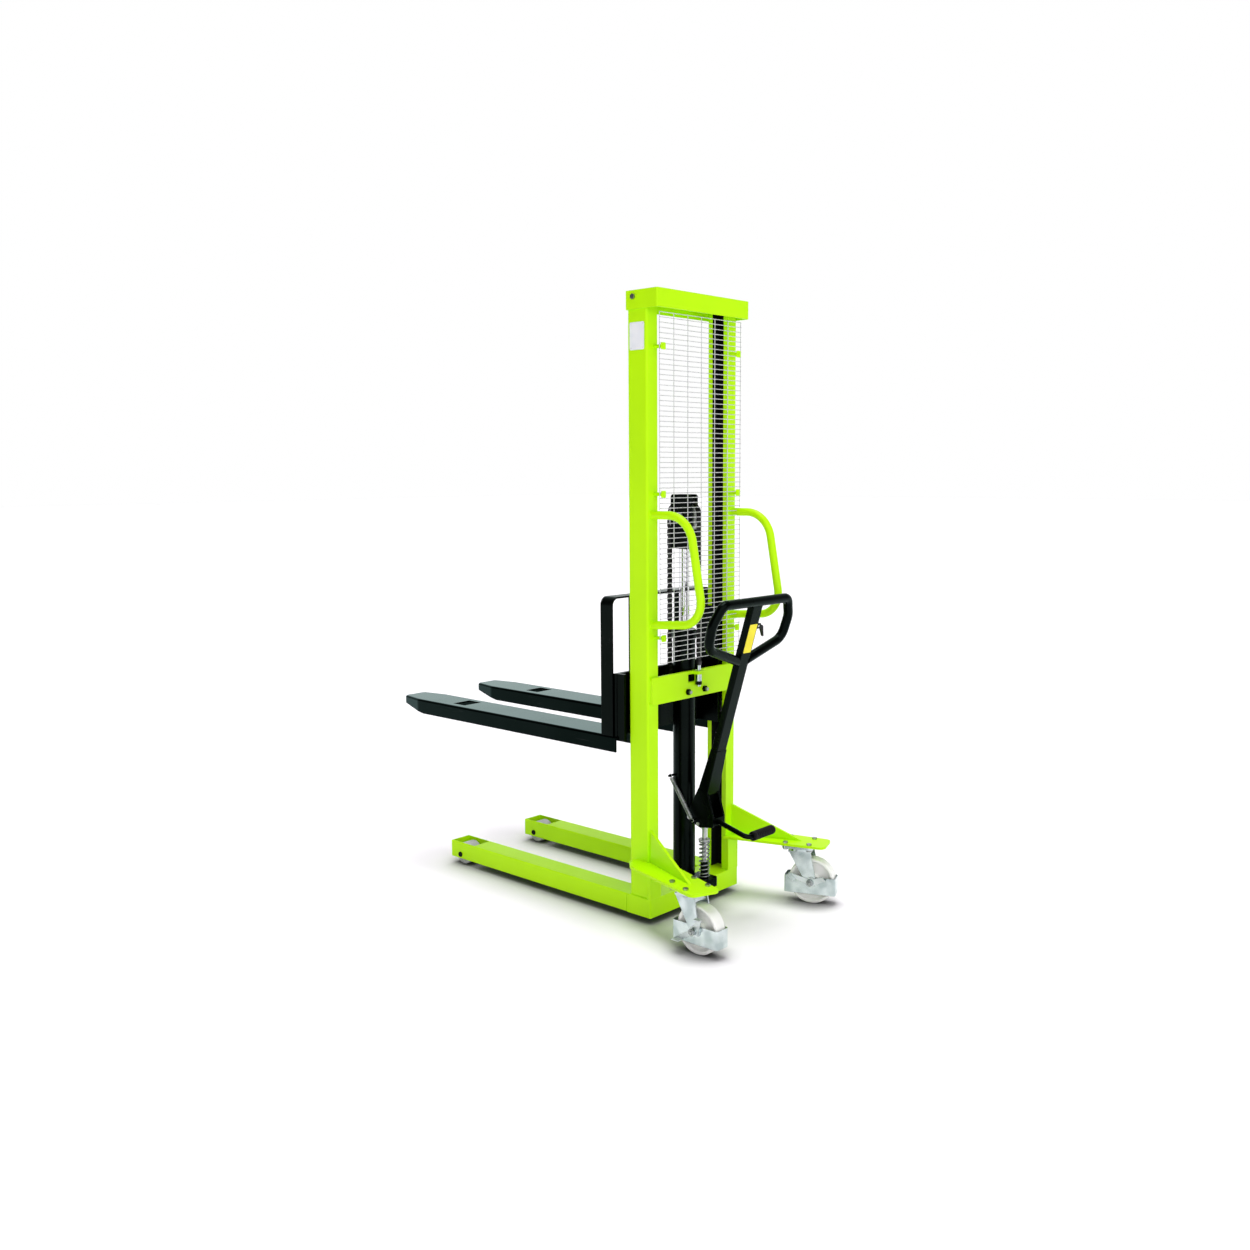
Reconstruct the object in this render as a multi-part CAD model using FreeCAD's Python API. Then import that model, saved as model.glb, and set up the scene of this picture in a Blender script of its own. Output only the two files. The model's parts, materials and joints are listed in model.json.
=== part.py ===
import FreeCAD, Part
import math
import os

# Hand pallet stacker: straddle legs, a fixed mast of two channels, a hydraulic ram that lifts the
# fork carriage two to one over a single chain, a pump worked by a tiller and its pedal, and two
# swivel castors. Millimetres. X to the operator's right, Y towards the fork tips, Z up from the
# floor. The origin lies on the floor, midway between the columns, below their rear faces.

Vector = FreeCAD.Vector
X_AXIS = Vector(1, 0, 0)
Y_AXIS = Vector(0, 1, 0)
Z_AXIS = Vector(0, 0, 1)

# Fits shared by the pieces
pin_fit = 0.03
running_fit = 0.06
seat_gap = 0.3

# Mast columns
mast_width = 465.0
mast_height = 2070.0
column_depth = 83.0
flange_width = 50.0
flange_thickness = 18.0
web_thickness = 10.0
column_corner = 8.0

# Cap over the columns
cap_height = 59.0
cap_wall = 4.0
cap_overhang = 48.0
cap_fit = 0.5
cap_corner = 6.0
cap_bolt_forward = 53.0
cap_bolt_drop = 20.0

# Base and straddle legs
base_clearance = 24.0
leg_height = 64.0
leg_width = 89.0
leg_spacing = 386.0
leg_wall = 6.0
leg_tip = 1015.0
leg_edge = 4.0
base_back = 12.0
base_front = 13.0
base_wall = 8.0

# Load rollers in the leg tips
load_roller_radius = 41.0
load_roller_width = 60.0
load_roller_setback = 52.0
load_roller_edge = 4.0
load_axle_radius = 10.0
load_axle_end = 3.0
roller_window_back = 75.0

# Fork carriage at the height the forks are parked
fork_top = 627.0
fork_height = 54.0
fork_width = 144.0
fork_spacing = 378.0
fork_wall = 6.0
fork_heel = 120.0
fork_length = 1167.0
fork_nose_taper = 113.0
fork_nose_inset = 22.0
fork_nose_radius = 20.0
fork_edge = 8.0
fork_slope_length = 144.0
fork_slope_rise = 27.0
fork_heel_step = 1.0
fork_window_width = 81.0
fork_window_length = 67.0
backrest_height = 464.0
backrest_strip = 52.0
backrest_thickness = 6.0
backrest_corner = 28.0
carriage_plate = 12.0
carriage_wing_height = 211.0
carriage_arm = 12.0
carriage_arm_gap = 5.5
carriage_arm_height = 410.0
carriage_arm_back = 24.0
carriage_arm_shoulder = 90.0
carriage_arm_slope = 60.0
carriage_cheek = 12.0
carriage_cheek_inset = 3.0
carriage_cheek_drop = 15.0
carriage_lift_clear = 3.0
carriage_column_gap = 5.0

# Carriage rollers inside the channels
carriage_roller_width = 30.0
carriage_roller_gap = 0.5
carriage_roller_inset = 5.5
carriage_roller_edge = 2.0
carriage_pin_radius = 10.0
lower_roller_rise = 53.0
upper_roller_drop = 34.0

# Hydraulic cylinder, ram and chain wheel
cylinder_radius = 38.0
cylinder_forward = 40.0
cylinder_top = 940.0
cylinder_floor = 20.0
gland_height = 32.0
gland_radius = 42.0
ram_radius = 17.5
ram_inside = 849.0
yoke_bottom = 1243.0
yoke_top = 1425.0
yoke_block = 32.0
yoke_plate = 8.0
yoke_half_depth = 43.0
yoke_corner = 10.0
wheel_drop = 75.0
chain_radius = 64.0
chain_width = 16.0
chain_thickness = 10.0
wheel_flange = 2.0
wheel_width = 20.0
wheel_pin_radius = 12.0
wheel_side_gap = 2.0

# Cross beam, clamp and chain anchors
beam_bottom = 742.0
beam_height = 91.0
beam_half_length = 225.0
beam_plate = 12.0
beam_corner = 10.0
lug_half_width = 18.0
lug_thickness = 11.0
lug_reach = 28.0
clamp_rise = 22.0
clamp_rod = 6.0
clamp_tail = 16.0
nut_height = 8.0
nut_across = 19.0
stud_radius = 7.0
stud_above = 19.0
stud_sleeve = 25.0
stud_tail = 6.0
slot_left = 41.0
slot_right = 6.0
slot_height = 27.0
carriage_lug_rise = 143.0
carriage_lug_height = 34.0
carriage_lug_half_width = 14.0

# Mesh guard behind the mast
mesh_setback = 34.0
mesh_wire = 3.0
mesh_half_width = 210.0
mesh_bottom = 880.0
mesh_top = 2000.0
mesh_columns = 6
mesh_rows = 48
mesh_notch_gap = 2.0
clip_offset = 195.0
clip_size = 22.0
clip_plate = 2.0
clip_post_radius = 6.0
clip_screw_radius = 2.5
clip_head_radius = 5.0
clip_head = 3.0
clip_rows = (3, 23, 43)

# Grab handles behind the columns
grab_tube = 13.5
grab_top = 1362.0
grab_bottom = 1005.0
grab_bottom_rise = 17.0
grab_top_reach = 152.0
grab_bottom_reach = 214.0
grab_top_bend = 100.0
grab_bottom_bend = 75.0
grab_wall = 3.0

# Pump and its plunger
pump_back = 50.0
pump_block_half_width = 34.0
pump_block_height = 30.0
pump_block_back = 86.0
pump_block_corner = 14.0
pump_barrel_radius = 13.0
pump_barrel_height = 54.0
plunger_radius = 8.0
plunger_engaged = 30.0
plunger_collar_radius = 20.0
plunger_collar = 4.0
plunger_head_radius = 15.0
plunger_head = 6.0
pump_spring_height = 130.0
pump_spring_radius = 17.0
pump_spring_wire = 2.2
pump_spring_turns = 10

# Tiller, its pivot and the press roller
pivot_back = 12.0
pivot_height = 330.0
pivot_pin_radius = 8.0
pivot_boss = 11.0
saddle_thickness = 5.0
saddle_height = 36.0
lug_plate = 9.0
cheek_plate = 8.0
cheek_half_width = 32.0
cheek_gap = 0.5
press_roller_radius = 14.0
press_roller_half_width = 20.0
press_roller_drop = 18.0
press_pin_radius = 6.0
pin_overhang = 5.0
tiller_tilt = 16.57
tiller_axis_back = 38.9
tiller_tube_width = 50.0
tiller_tube_depth = 25.0
tiller_tube_wall = 3.0
tiller_tube_start = 120.0
socket_start = 95.0
socket_end = 255.0
socket_lip = 1.5
socket_wall = 7.0
socket_depth_wall = 8.5
loop_tube = 16.0
loop_wall = 3.0
loop_top = 785.0
loop_half_width = 205.0
loop_shoulder = 720.0
loop_waist = 640.0
loop_waist_half = 198.0
loop_foot = 574.0
loop_top_bend = 62.0
loop_side_bend = 60.0
loop_waist_bend = 48.0

# Release lever in the tiller loop
lever_pivot_out = 36.0
lever_pivot_rise = 700.0
lever_reach = 46.0
lever_drop = 41.0
lever_knee_reach = 27.0
lever_knee_drop = 8.0
lever_half_width = 6.5
lever_tip = 2.5
lever_half_thickness = 4.0
lever_pin_radius = 4.0
lever_boss = 9.0
lever_clevis = 4.0

# Foot pedal on the tiller's foot
pedal_rod = 8.5
pedal_reach = 235.0
pedal_height = 292.0
pedal_bend = 22.0
pedal_root_back = 104.0
pedal_root_height = 326.0
pedal_pad_radius = 16.0
pedal_pad_start = 12.0
pedal_pad_end = 140.0
pedal_pad_edge = 5.0

# Return spring beside the cylinder
return_spring_offset = 49.0
return_spring_radius = 6.7
return_spring_wire = 1.3
return_spring_turns = 48
return_stud_radius = 4.0
return_stud_over = 9.0
return_top_forward = 60.0
return_top_height = 465.0
return_foot_back = 36.0
return_foot_height = 325.0

# Castor brackets
bracket_plate = 8.0
bracket_top = 213.0
bracket_turn = 20.0
bracket_web = 10.0
bracket_web_rise = 112.0
bracket_web_length = 258.0
bracket_web_inset = 12.0
bracket_front = 58.0
bracket_inner = 168.0
bracket_outer_front = 300.0
bracket_half_width = 54.0
bracket_beyond = 99.0
bracket_corner = 36.0
bracket_rear_corner = 22.0
bracket_pad_inner = 182.5

# Swivel castors
castor_out = 303.0
castor_back = 236.0
castor_trail = 46.0
castor_wheel_radius = 80.0
castor_wheel_width = 45.0
castor_wheel_edge = 5.0
castor_axle = 8.0
castor_head = 13.0
castor_head_height = 6.0
castor_plate = 8.0
castor_plate_length = 112.0
castor_plate_width = 104.0
castor_bolt_along = 84.0
castor_bolt_across = 80.0
castor_bolt = 5.0
castor_bolt_head = 6.0
castor_bolt_across_flats = 16.0
kingpin_radius = 10.0
kingpin_head_radius = 15.0
kingpin_head = 7.0
castor_race_radius = 44.0
castor_race = 10.0
castor_crown = 6.0
castor_leg = 5.0
castor_leg_front = 34.0
castor_leg_back = 44.0
castor_leg_end = 20.0
castor_guard_sheet = 2.5
castor_guard_front = 95.0
castor_guard_back = 85.0
castor_guard_half_width = 29.0
castor_guard_bottom = 35.0
castor_guard_height = 61.0
castor_guard_corner = 7.0
brake_sheet = 3.0
brake_hub = 17.0
brake_pad_low = 46.0
brake_pad_front = 26.0
brake_pad_back = 4.0
brake_pad_out = 26.0
brake_tab_rise = 42.0
brake_tab_back = 20.0
brake_tab_out = 12.0
left_castor_turn = 0.0
right_castor_turn = 22.0
right_brake_lift = 46.0

# Places that several pieces share
leg_top = base_clearance + leg_height
base_front_y = column_depth + base_front
half_mast = mast_width / 2
flange_inner = half_mast - flange_width
grab_offset = half_mast - flange_width / 2
web_inner = half_mast - web_thickness
channel_centre_y = column_depth / 2
column_top = mast_height - cap_wall
load_roller_y = leg_tip - load_roller_setback
roller_radius = (column_depth - 2 * flange_thickness) / 2 - carriage_roller_gap
lower_roller_z = fork_top + lower_roller_rise
arm_bottom = fork_top - carriage_lift_clear
carriage_lug_top = fork_top + carriage_lug_rise
arm_top = arm_bottom + carriage_arm_height
upper_roller_z = arm_top - upper_roller_drop
arm_outer = flange_inner - carriage_arm_gap
arm_inner = arm_outer - carriage_arm
plate_rear = fork_heel
plate_front = fork_heel + carriage_plate
gland_top = cylinder_top + gland_height
wheel_z = yoke_top - wheel_drop
chain_rear_y = cylinder_forward - chain_radius
chain_front_y = cylinder_forward + chain_radius
beam_top = beam_bottom + beam_height
clamp_z = beam_bottom + clamp_rise
clamp_x = cylinder_radius + clamp_rod + pin_fit
stud_top = beam_top + stud_above
stud_shoulder = beam_top - lug_thickness - stud_sleeve
pump_top = leg_top + pump_block_height
spring_top = pump_top + pump_spring_height
press_roller_z = pivot_height - press_roller_drop
plunger_top = press_roller_z - press_roller_radius - seat_gap
lug_outer = cheek_half_width - cheek_plate - cheek_gap
tiller_foot = Vector(0, -tiller_axis_back, pivot_height)
bracket_bottom = bracket_top - bracket_plate
castor_plate_bottom = bracket_bottom - castor_plate
castor_leg_inner = castor_guard_half_width + seat_gap
castor_leg_outer = castor_leg_inner + castor_leg
grille_pitch_x = 2 * mesh_half_width / mesh_columns
grille_pitch_z = (mesh_top - mesh_bottom - mesh_wire) / mesh_rows

parts = {}


def box(x0, x1, y0, y1, z0, z1):
    return Part.makeBox(x1 - x0, y1 - y0, z1 - z0, Vector(x0, y0, z0))


def tapered_block(low_halves, high_halves, z0, z1):
    """A block about the Z axis that narrows evenly from one rectangle to another above it."""
    rings = []
    for (half_x, half_y), z in ((low_halves, z0), (high_halves, z1)):
        corners = [Vector(-half_x, -half_y, z), Vector(half_x, -half_y, z), Vector(half_x, half_y, z),
                   Vector(-half_x, half_y, z)]
        rings.append(Part.makePolygon(corners + corners[:1]))
    return Part.makeLoft(rings, True, True)


def rod(start, end, radius):
    along = end - start
    return Part.makeCylinder(radius, along.Length, start, along)


def rounded_wire(points, radii, closed=True):
    """A wire through the points whose corners are tangent arcs of the given radii."""
    count = len(points)
    corners = []
    for index, point in enumerate(points):
        radius = radii[index] if isinstance(radii, (list, tuple)) else radii
        at_end = not closed and index in (0, count - 1)
        if at_end or radius <= 0:
            corners.append((point, None, point))
            continue
        back = (points[index - 1] - point).normalize()
        ahead = (points[(index + 1) % count] - point).normalize()
        half = back.getAngle(ahead) / 2
        middle = (back + ahead).normalize()
        tangent = radius / math.tan(half)
        crest = point + middle * (radius / math.sin(half) - radius)
        corners.append((point + back * tangent, crest, point + ahead * tangent))
    edges = []
    for index, (arrive, crest, leave) in enumerate(corners):
        if crest is not None:
            edges.append(Part.Arc(arrive, crest, leave).toShape())
        if index == count - 1 and not closed:
            break
        following = corners[(index + 1) % count][0]
        if (following - leave).Length > 1e-6:
            edges.append(Part.makeLine(leave, following))
    return Part.Wire(edges)


def plate(points, radii, along):
    """A flat plate with rounded corners, pushed out along a vector."""
    return Part.Face(rounded_wire(points, radii)).extrude(along)


def plate_xy(points, radii, z0, z1):
    return plate([Vector(x, y, z0) for x, y in points], radii, Z_AXIS * (z1 - z0))


def plate_yz(points, radii, x0, x1):
    return plate([Vector(x0, y, z) for y, z in points], radii, X_AXIS * (x1 - x0))


def plate_xz(points, radii, y0, y1):
    return plate([Vector(x, y0, z) for x, z in points], radii, Y_AXIS * (y1 - y0))


def bent_rod(points, bend, radius):
    """A round rod along straight runs joined by bends."""
    wire = rounded_wire(points, bend, closed=False)
    ring = Part.Wire([Part.makeCircle(radius, points[0], points[1] - points[0])])
    return wire.makePipeShell([ring], True, False)


def bent_tube(points, bend, radius, wall):
    """A round tube along straight runs joined by bends."""
    return bent_rod(points, bend, radius).cut(bent_rod(points, bend, radius - wall))


def joined(shapes):
    body = shapes[0].fuse(shapes[1:])
    return body.removeSplitter()


def turned(shape, axis, degrees, centre):
    copy = shape.copy()
    copy.rotate(centre, axis, degrees)
    return copy


def moved(shape, offset):
    copy = shape.copy()
    copy.translate(offset)
    return copy


def mirrored(shape):
    return shape.mirror(Vector(0, 0, 0), X_AXIS)


def softened(shape, radius, keep):
    """Rounds the edges that the keep test picks."""
    edges = [edge for edge in shape.Edges if keep(edge)]
    return shape.makeFillet(radius, edges)


def runs_along(edge, axis):
    ends = [vertex.Point for vertex in edge.Vertexes]
    if len(ends) != 2:
        return False
    line = ends[1] - ends[0]
    return line.Length > 1e-6 and abs(line.normalize().dot(axis)) > 0.999


def hexagon_nut(centre, axis, height, across, bore):
    """A hexagon nut that starts at the centre and grows along the axis."""
    corner = across / math.sqrt(3)
    points = [Vector(corner * math.cos(math.radians(60 * k)), corner * math.sin(math.radians(60 * k)), 0)
              for k in range(6)]
    prism = Part.Face(Part.makePolygon(points + points[:1])).extrude(Z_AXIS * height)
    if bore:
        prism = prism.cut(Part.makeCylinder(bore, height))
    prism.Placement = FreeCAD.Placement(centre, FreeCAD.Rotation(Z_AXIS, axis))
    return prism


def wheel_blank(radius, width, bore, edge):
    """A wheel about X, centred on the origin, with rounded rims and a bore."""
    disc = Part.makeCylinder(radius, width, Vector(-width / 2, 0, 0), X_AXIS)
    rims = [rim for rim in disc.Edges if rim.Closed and abs(rim.Curve.Radius - radius) < 1e-6]
    disc = disc.makeFillet(edge, rims)
    return disc.cut(Part.makeCylinder(bore, width, Vector(-width / 2, 0, 0), X_AXIS))


def biarc(start, start_way, end, end_way):
    """Two tangent arcs from one point and direction to another."""
    span = end - start
    sum_way = start_way + end_way
    spread = 2 * (1 - start_way.dot(end_way))
    reach = span.dot(sum_way)
    handle = (-reach + math.sqrt(reach * reach + spread * span.dot(span))) / spread
    first = start + start_way * handle
    second = end - end_way * handle
    meet = (first + second) * 0.5
    arcs = []
    for a, knee, b in ((start, first, meet), (meet, second, end)):
        middle = (a + b) * 0.5
        rise = knee - middle
        chord = (b - a).Length / 2
        turn = 2 * math.atan2(rise.Length, chord)
        crest = middle + rise.normalize() * (chord * math.tan(turn / 4))
        arcs.append(Part.Arc(a, crest, b).toShape())
    return arcs


def coil_spring(foot, head, radius, wire_radius, turns, label):
    """A helical spring from foot to head as one tube, with straight ends one wire thick."""
    axis = (head - foot).normalize()
    height = (head - foot).Length
    side = X_AXIS if abs(axis.dot(X_AXIS)) < 0.9 else Y_AXIS
    across = axis.cross(side).normalize()
    other = axis.cross(across)
    steps = 4 * turns
    pitch = height / turns

    def at(step):
        angle = step * math.pi / 2
        flat = across * (radius * math.cos(angle)) + other * (radius * math.sin(angle))
        return foot + flat + axis * (height * step / steps)

    def way(step):
        angle = step * math.pi / 2
        flat = across * (-radius * math.sin(angle)) + other * (radius * math.cos(angle))
        return (flat + axis * (pitch / (2 * math.pi))).normalize()

    tail = 2 * wire_radius
    begin = at(0) - way(0) * tail
    edges = [Part.makeLine(begin, at(0))]
    for step in range(steps):
        edges.extend(biarc(at(step), way(step), at(step + 1), way(step + 1)))
    edges.append(Part.makeLine(at(steps), at(steps) + way(steps) * tail))
    path = Part.Wire(edges)
    ring = Part.Wire([Part.makeCircle(wire_radius, begin, way(0))])
    coil = path.makePipeShell([ring], True, False)
    samples = [at(step / 4) for step in range(4 * steps + 1)]
    one_turn = 16
    near = min((samples[i] - samples[j]).Length
               for i in range(0, len(samples), 4)
               for j in range(i + one_turn * 3 // 4, min(i + one_turn * 5 // 4 + 1, len(samples))))
    print(label, "least gap between turns", round(near - 2 * wire_radius, 2))
    return coil


# Straddle legs and the base between them
def build_base():
    half = (leg_spacing + leg_width) / 2
    shell = box(-half, half, -base_back, base_front_y, base_clearance, leg_top)
    shell = softened(shell, leg_edge, lambda edge: runs_along(edge, Z_AXIS))
    hollow = box(-half + base_wall, half - base_wall, -base_back + base_wall, base_front_y - base_wall,
                 base_clearance, leg_top - base_wall)
    parts["base_frame"] = shell.cut(hollow)
    for side, name in ((-1, "left"), (1, "right")):
        centre = side * leg_spacing / 2
        low, high = centre - leg_width / 2, centre + leg_width / 2
        leg = box(low, high, base_front_y, leg_tip, base_clearance, leg_top)
        leg = softened(leg, leg_edge, lambda edge: runs_along(edge, Y_AXIS))
        inside = box(low + leg_wall, high - leg_wall, base_front_y, leg_tip - leg_wall,
                     base_clearance, leg_top - leg_wall)
        window = box(low + leg_wall, high - leg_wall, load_roller_y - roller_window_back, leg_tip - leg_wall,
                     leg_top - 2 * leg_wall, leg_top)
        bore = rod(Vector(low, load_roller_y, load_roller_radius),
                   Vector(high, load_roller_y, load_roller_radius), load_axle_radius + pin_fit)
        parts[name + "_leg"] = leg.cut([inside, window, bore])
        roller = wheel_blank(load_roller_radius, load_roller_width, load_axle_radius + running_fit,
                             load_roller_edge)
        parts[name + "_load_roller"] = moved(roller, Vector(centre, load_roller_y, load_roller_radius))
    reach = leg_width / 2 + load_axle_end
    parts["load_roller_axles"] = Part.makeCompound([
        rod(Vector(side * leg_spacing / 2 - reach, load_roller_y, load_roller_radius),
            Vector(side * leg_spacing / 2 + reach, load_roller_y, load_roller_radius), load_axle_radius)
        for side in (-1, 1)])


# Two channels that open towards each other, under one cap
def build_columns():
    post = box(flange_inner, half_mast, 0, column_depth, leg_top, column_top)
    outer = [edge for edge in post.Edges
             if runs_along(edge, Z_AXIS) and edge.Vertexes[0].X > half_mast - 1]
    post = post.makeFillet(column_corner, outer)
    groove = box(flange_inner, web_inner, flange_thickness, column_depth - flange_thickness,
                 leg_top, column_top)
    bolt_hole = rod(Vector(web_inner, cap_bolt_forward, mast_height - cap_bolt_drop),
                    Vector(half_mast, cap_bolt_forward, mast_height - cap_bolt_drop),
                    castor_bolt + pin_fit)
    post = post.cut([groove, bolt_hole])
    parts["right_mast_channel"] = post
    parts["left_mast_channel"] = mirrored(post)

    half = half_mast + cap_fit + cap_wall
    front = column_depth + cap_fit + cap_wall
    shell = box(-half, half, -cap_overhang, front, mast_height - cap_height, mast_height)
    shell = softened(shell, cap_corner, lambda edge: runs_along(edge, Z_AXIS))
    hollow = box(-half + cap_wall, half - cap_wall, -cap_overhang + cap_wall, front - cap_wall,
                 mast_height - cap_height, column_top)
    hole = rod(Vector(-half, cap_bolt_forward, mast_height - cap_bolt_drop),
               Vector(half, cap_bolt_forward, mast_height - cap_bolt_drop), castor_bolt + pin_fit)
    parts["mast_top_cap"] = shell.cut([hollow, hole])
    bolts = []
    for side in (-1, 1):
        face = Vector(side * half, cap_bolt_forward, mast_height - cap_bolt_drop)
        head = hexagon_nut(face, X_AXIS * side, castor_bolt_head, castor_bolt_across_flats, 0)
        shank = rod(face, face - X_AXIS * (side * (half - web_inner)), castor_bolt)
        bolts.append(joined([head, shank]))
    return bolts


# Beam across the columns, which holds the cylinder and the chain's fixed end
def build_cross_beam():
    beam = plate_xz([(-beam_half_length, beam_bottom), (beam_half_length, beam_bottom),
                     (beam_half_length, beam_top), (-beam_half_length, beam_top)],
                    beam_corner, -beam_plate, 0)
    lug = plate_xy([(-lug_half_width, -beam_plate), (lug_half_width, -beam_plate),
                    (lug_half_width, -beam_plate - lug_reach), (-lug_half_width, -beam_plate - lug_reach)],
                   (0, 0, beam_corner / 2, beam_corner / 2), beam_top - lug_thickness, beam_top)
    slot = box(-slot_left, slot_right, -beam_plate, 0,
               beam_top - lug_thickness - slot_height, beam_top - lug_thickness)
    holes = [rod(Vector(side * clamp_x, -beam_plate, clamp_z), Vector(side * clamp_x, 0, clamp_z),
                 clamp_rod + pin_fit) for side in (-1, 1)]
    stud_hole = rod(Vector(0, chain_rear_y, beam_top - lug_thickness), Vector(0, chain_rear_y, beam_top),
                    stud_radius + pin_fit)
    parts["mast_cross_beam"] = joined([beam, lug]).cut(holes + [slot, stud_hole])

    tail = -beam_plate - clamp_tail
    legs = [Vector(-clamp_x, tail, clamp_z), Vector(-clamp_x, cylinder_forward, clamp_z),
            Vector(0, cylinder_forward + clamp_x, clamp_z),
            Vector(clamp_x, cylinder_forward, clamp_z), Vector(clamp_x, tail, clamp_z)]
    bow = Part.Wire([Part.makeLine(legs[0], legs[1]), Part.Arc(legs[1], legs[2], legs[3]).toShape(),
                     Part.makeLine(legs[3], legs[4])])
    ring = Part.Wire([Part.makeCircle(clamp_rod, legs[0], Y_AXIS)])
    parts["cylinder_u_bolt"] = bow.makePipeShell([ring], True, False)

    sleeve = rod(Vector(0, chain_rear_y, stud_shoulder),
                 Vector(0, chain_rear_y, beam_top - lug_thickness), stud_radius * 1.4)
    stud = rod(Vector(0, chain_rear_y, stud_shoulder - nut_height * 1.5 - stud_tail),
               Vector(0, chain_rear_y, stud_top), stud_radius)
    parts["chain_anchor_stud"] = joined([sleeve, stud])
    nuts = [hexagon_nut(Vector(side * clamp_x, -beam_plate, clamp_z), Y_AXIS * -1, nut_height,
                        nut_across, clamp_rod + pin_fit) for side in (-1, 1)]
    nuts.append(hexagon_nut(Vector(0, chain_rear_y, stud_shoulder), Z_AXIS * -1, nut_height * 1.5,
                            nut_across, stud_radius + pin_fit))
    parts["clamp_nuts"] = Part.makeCompound(nuts)


# Cylinder, ram and the wheel that the chain runs over
def build_lift():
    axis_foot = Vector(0, cylinder_forward, leg_top)
    barrel = rod(axis_foot, Vector(0, cylinder_forward, cylinder_top), cylinder_radius)
    bore = rod(Vector(0, cylinder_forward, leg_top + cylinder_floor),
               Vector(0, cylinder_forward, cylinder_top), ram_radius + running_fit)
    stud_root = math.sqrt(cylinder_radius ** 2 - (return_top_forward - cylinder_forward) ** 2)
    stud = rod(Vector(-stud_root + 2 * return_stud_radius, return_top_forward, return_top_height),
               Vector(-return_spring_offset - return_stud_over, return_top_forward, return_top_height),
               return_stud_radius)
    parts["cylinder_barrel"] = joined([barrel, stud]).cut(bore)
    gland = rod(Vector(0, cylinder_forward, cylinder_top), Vector(0, cylinder_forward, gland_top),
                gland_radius)
    rim = [edge for edge in gland.Edges if edge.Closed and edge.Vertexes[0].Z > gland_top - 1]
    gland = gland.makeChamfer(gland_height / 5, rim)
    parts["cylinder_gland"] = gland.cut(rod(Vector(0, cylinder_forward, cylinder_top),
                                            Vector(0, cylinder_forward, gland_top),
                                            ram_radius + running_fit))
    parts["ram_rod"] = rod(Vector(0, cylinder_forward, yoke_bottom - ram_inside),
                           Vector(0, cylinder_forward, yoke_bottom), ram_radius)

    half_gap = wheel_width / 2 + wheel_side_gap
    half_yoke = half_gap + yoke_plate
    back, front = cylinder_forward - yoke_half_depth, cylinder_forward + yoke_half_depth
    outline = [(back, yoke_bottom), (front, yoke_bottom), (front, yoke_top), (back, yoke_top)]
    solid = plate_yz(outline, yoke_corner, -half_yoke, half_yoke)
    gap = box(-half_gap, half_gap, back, front, yoke_bottom + yoke_block, yoke_top)
    hub = Vector(0, cylinder_forward, wheel_z)
    pin_hole = rod(hub - X_AXIS * half_yoke, hub + X_AXIS * half_yoke, wheel_pin_radius + pin_fit)
    parts["chain_wheel_yoke"] = solid.cut([gap, pin_hole])
    pin_end = X_AXIS * (half_yoke + pin_overhang)
    parts["chain_wheel_pin"] = rod(hub - pin_end, hub + pin_end, wheel_pin_radius)
    seat = chain_radius - chain_thickness / 2 - seat_gap
    rim_radius = seat + wheel_flange
    wheel_side = Vector(-wheel_width / 2, 0, 0)
    disc = Part.makeCylinder(rim_radius, wheel_width, wheel_side, X_AXIS)
    groove_half = chain_width / 2 + seat_gap
    groove = Part.makeCylinder(rim_radius, 2 * groove_half, Vector(-groove_half, 0, 0), X_AXIS)
    groove = groove.cut(Part.makeCylinder(seat, 2 * groove_half, Vector(-groove_half, 0, 0), X_AXIS))
    bore = Part.makeCylinder(wheel_pin_radius + running_fit, wheel_width, wheel_side, X_AXIS)
    parts["chain_wheel"] = moved(disc.cut([groove, bore]), hub)


# One chain: down to the beam behind, over the wheel, and down to the carriage in front
def build_chain():
    half, thick = chain_width / 2, chain_thickness / 2
    parts["chain_rear_run"] = box(-half, half, chain_rear_y - thick, chain_rear_y + thick, stud_top, wheel_z)
    parts["chain_front_run"] = box(-half, half, chain_front_y - thick, chain_front_y + thick,
                                   carriage_lug_top, wheel_z)
    hub = Vector(-half, cylinder_forward, wheel_z)
    outer = Part.makeCylinder(chain_radius + thick, chain_width, hub, X_AXIS)
    inner = Part.makeCylinder(chain_radius - thick, chain_width, hub, X_AXIS)
    above = box(-half, half, cylinder_forward - 2 * chain_radius, cylinder_forward + 2 * chain_radius,
                wheel_z, wheel_z + 2 * chain_radius)
    parts["chain_wrap"] = outer.cut(inner).common(above)


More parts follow.
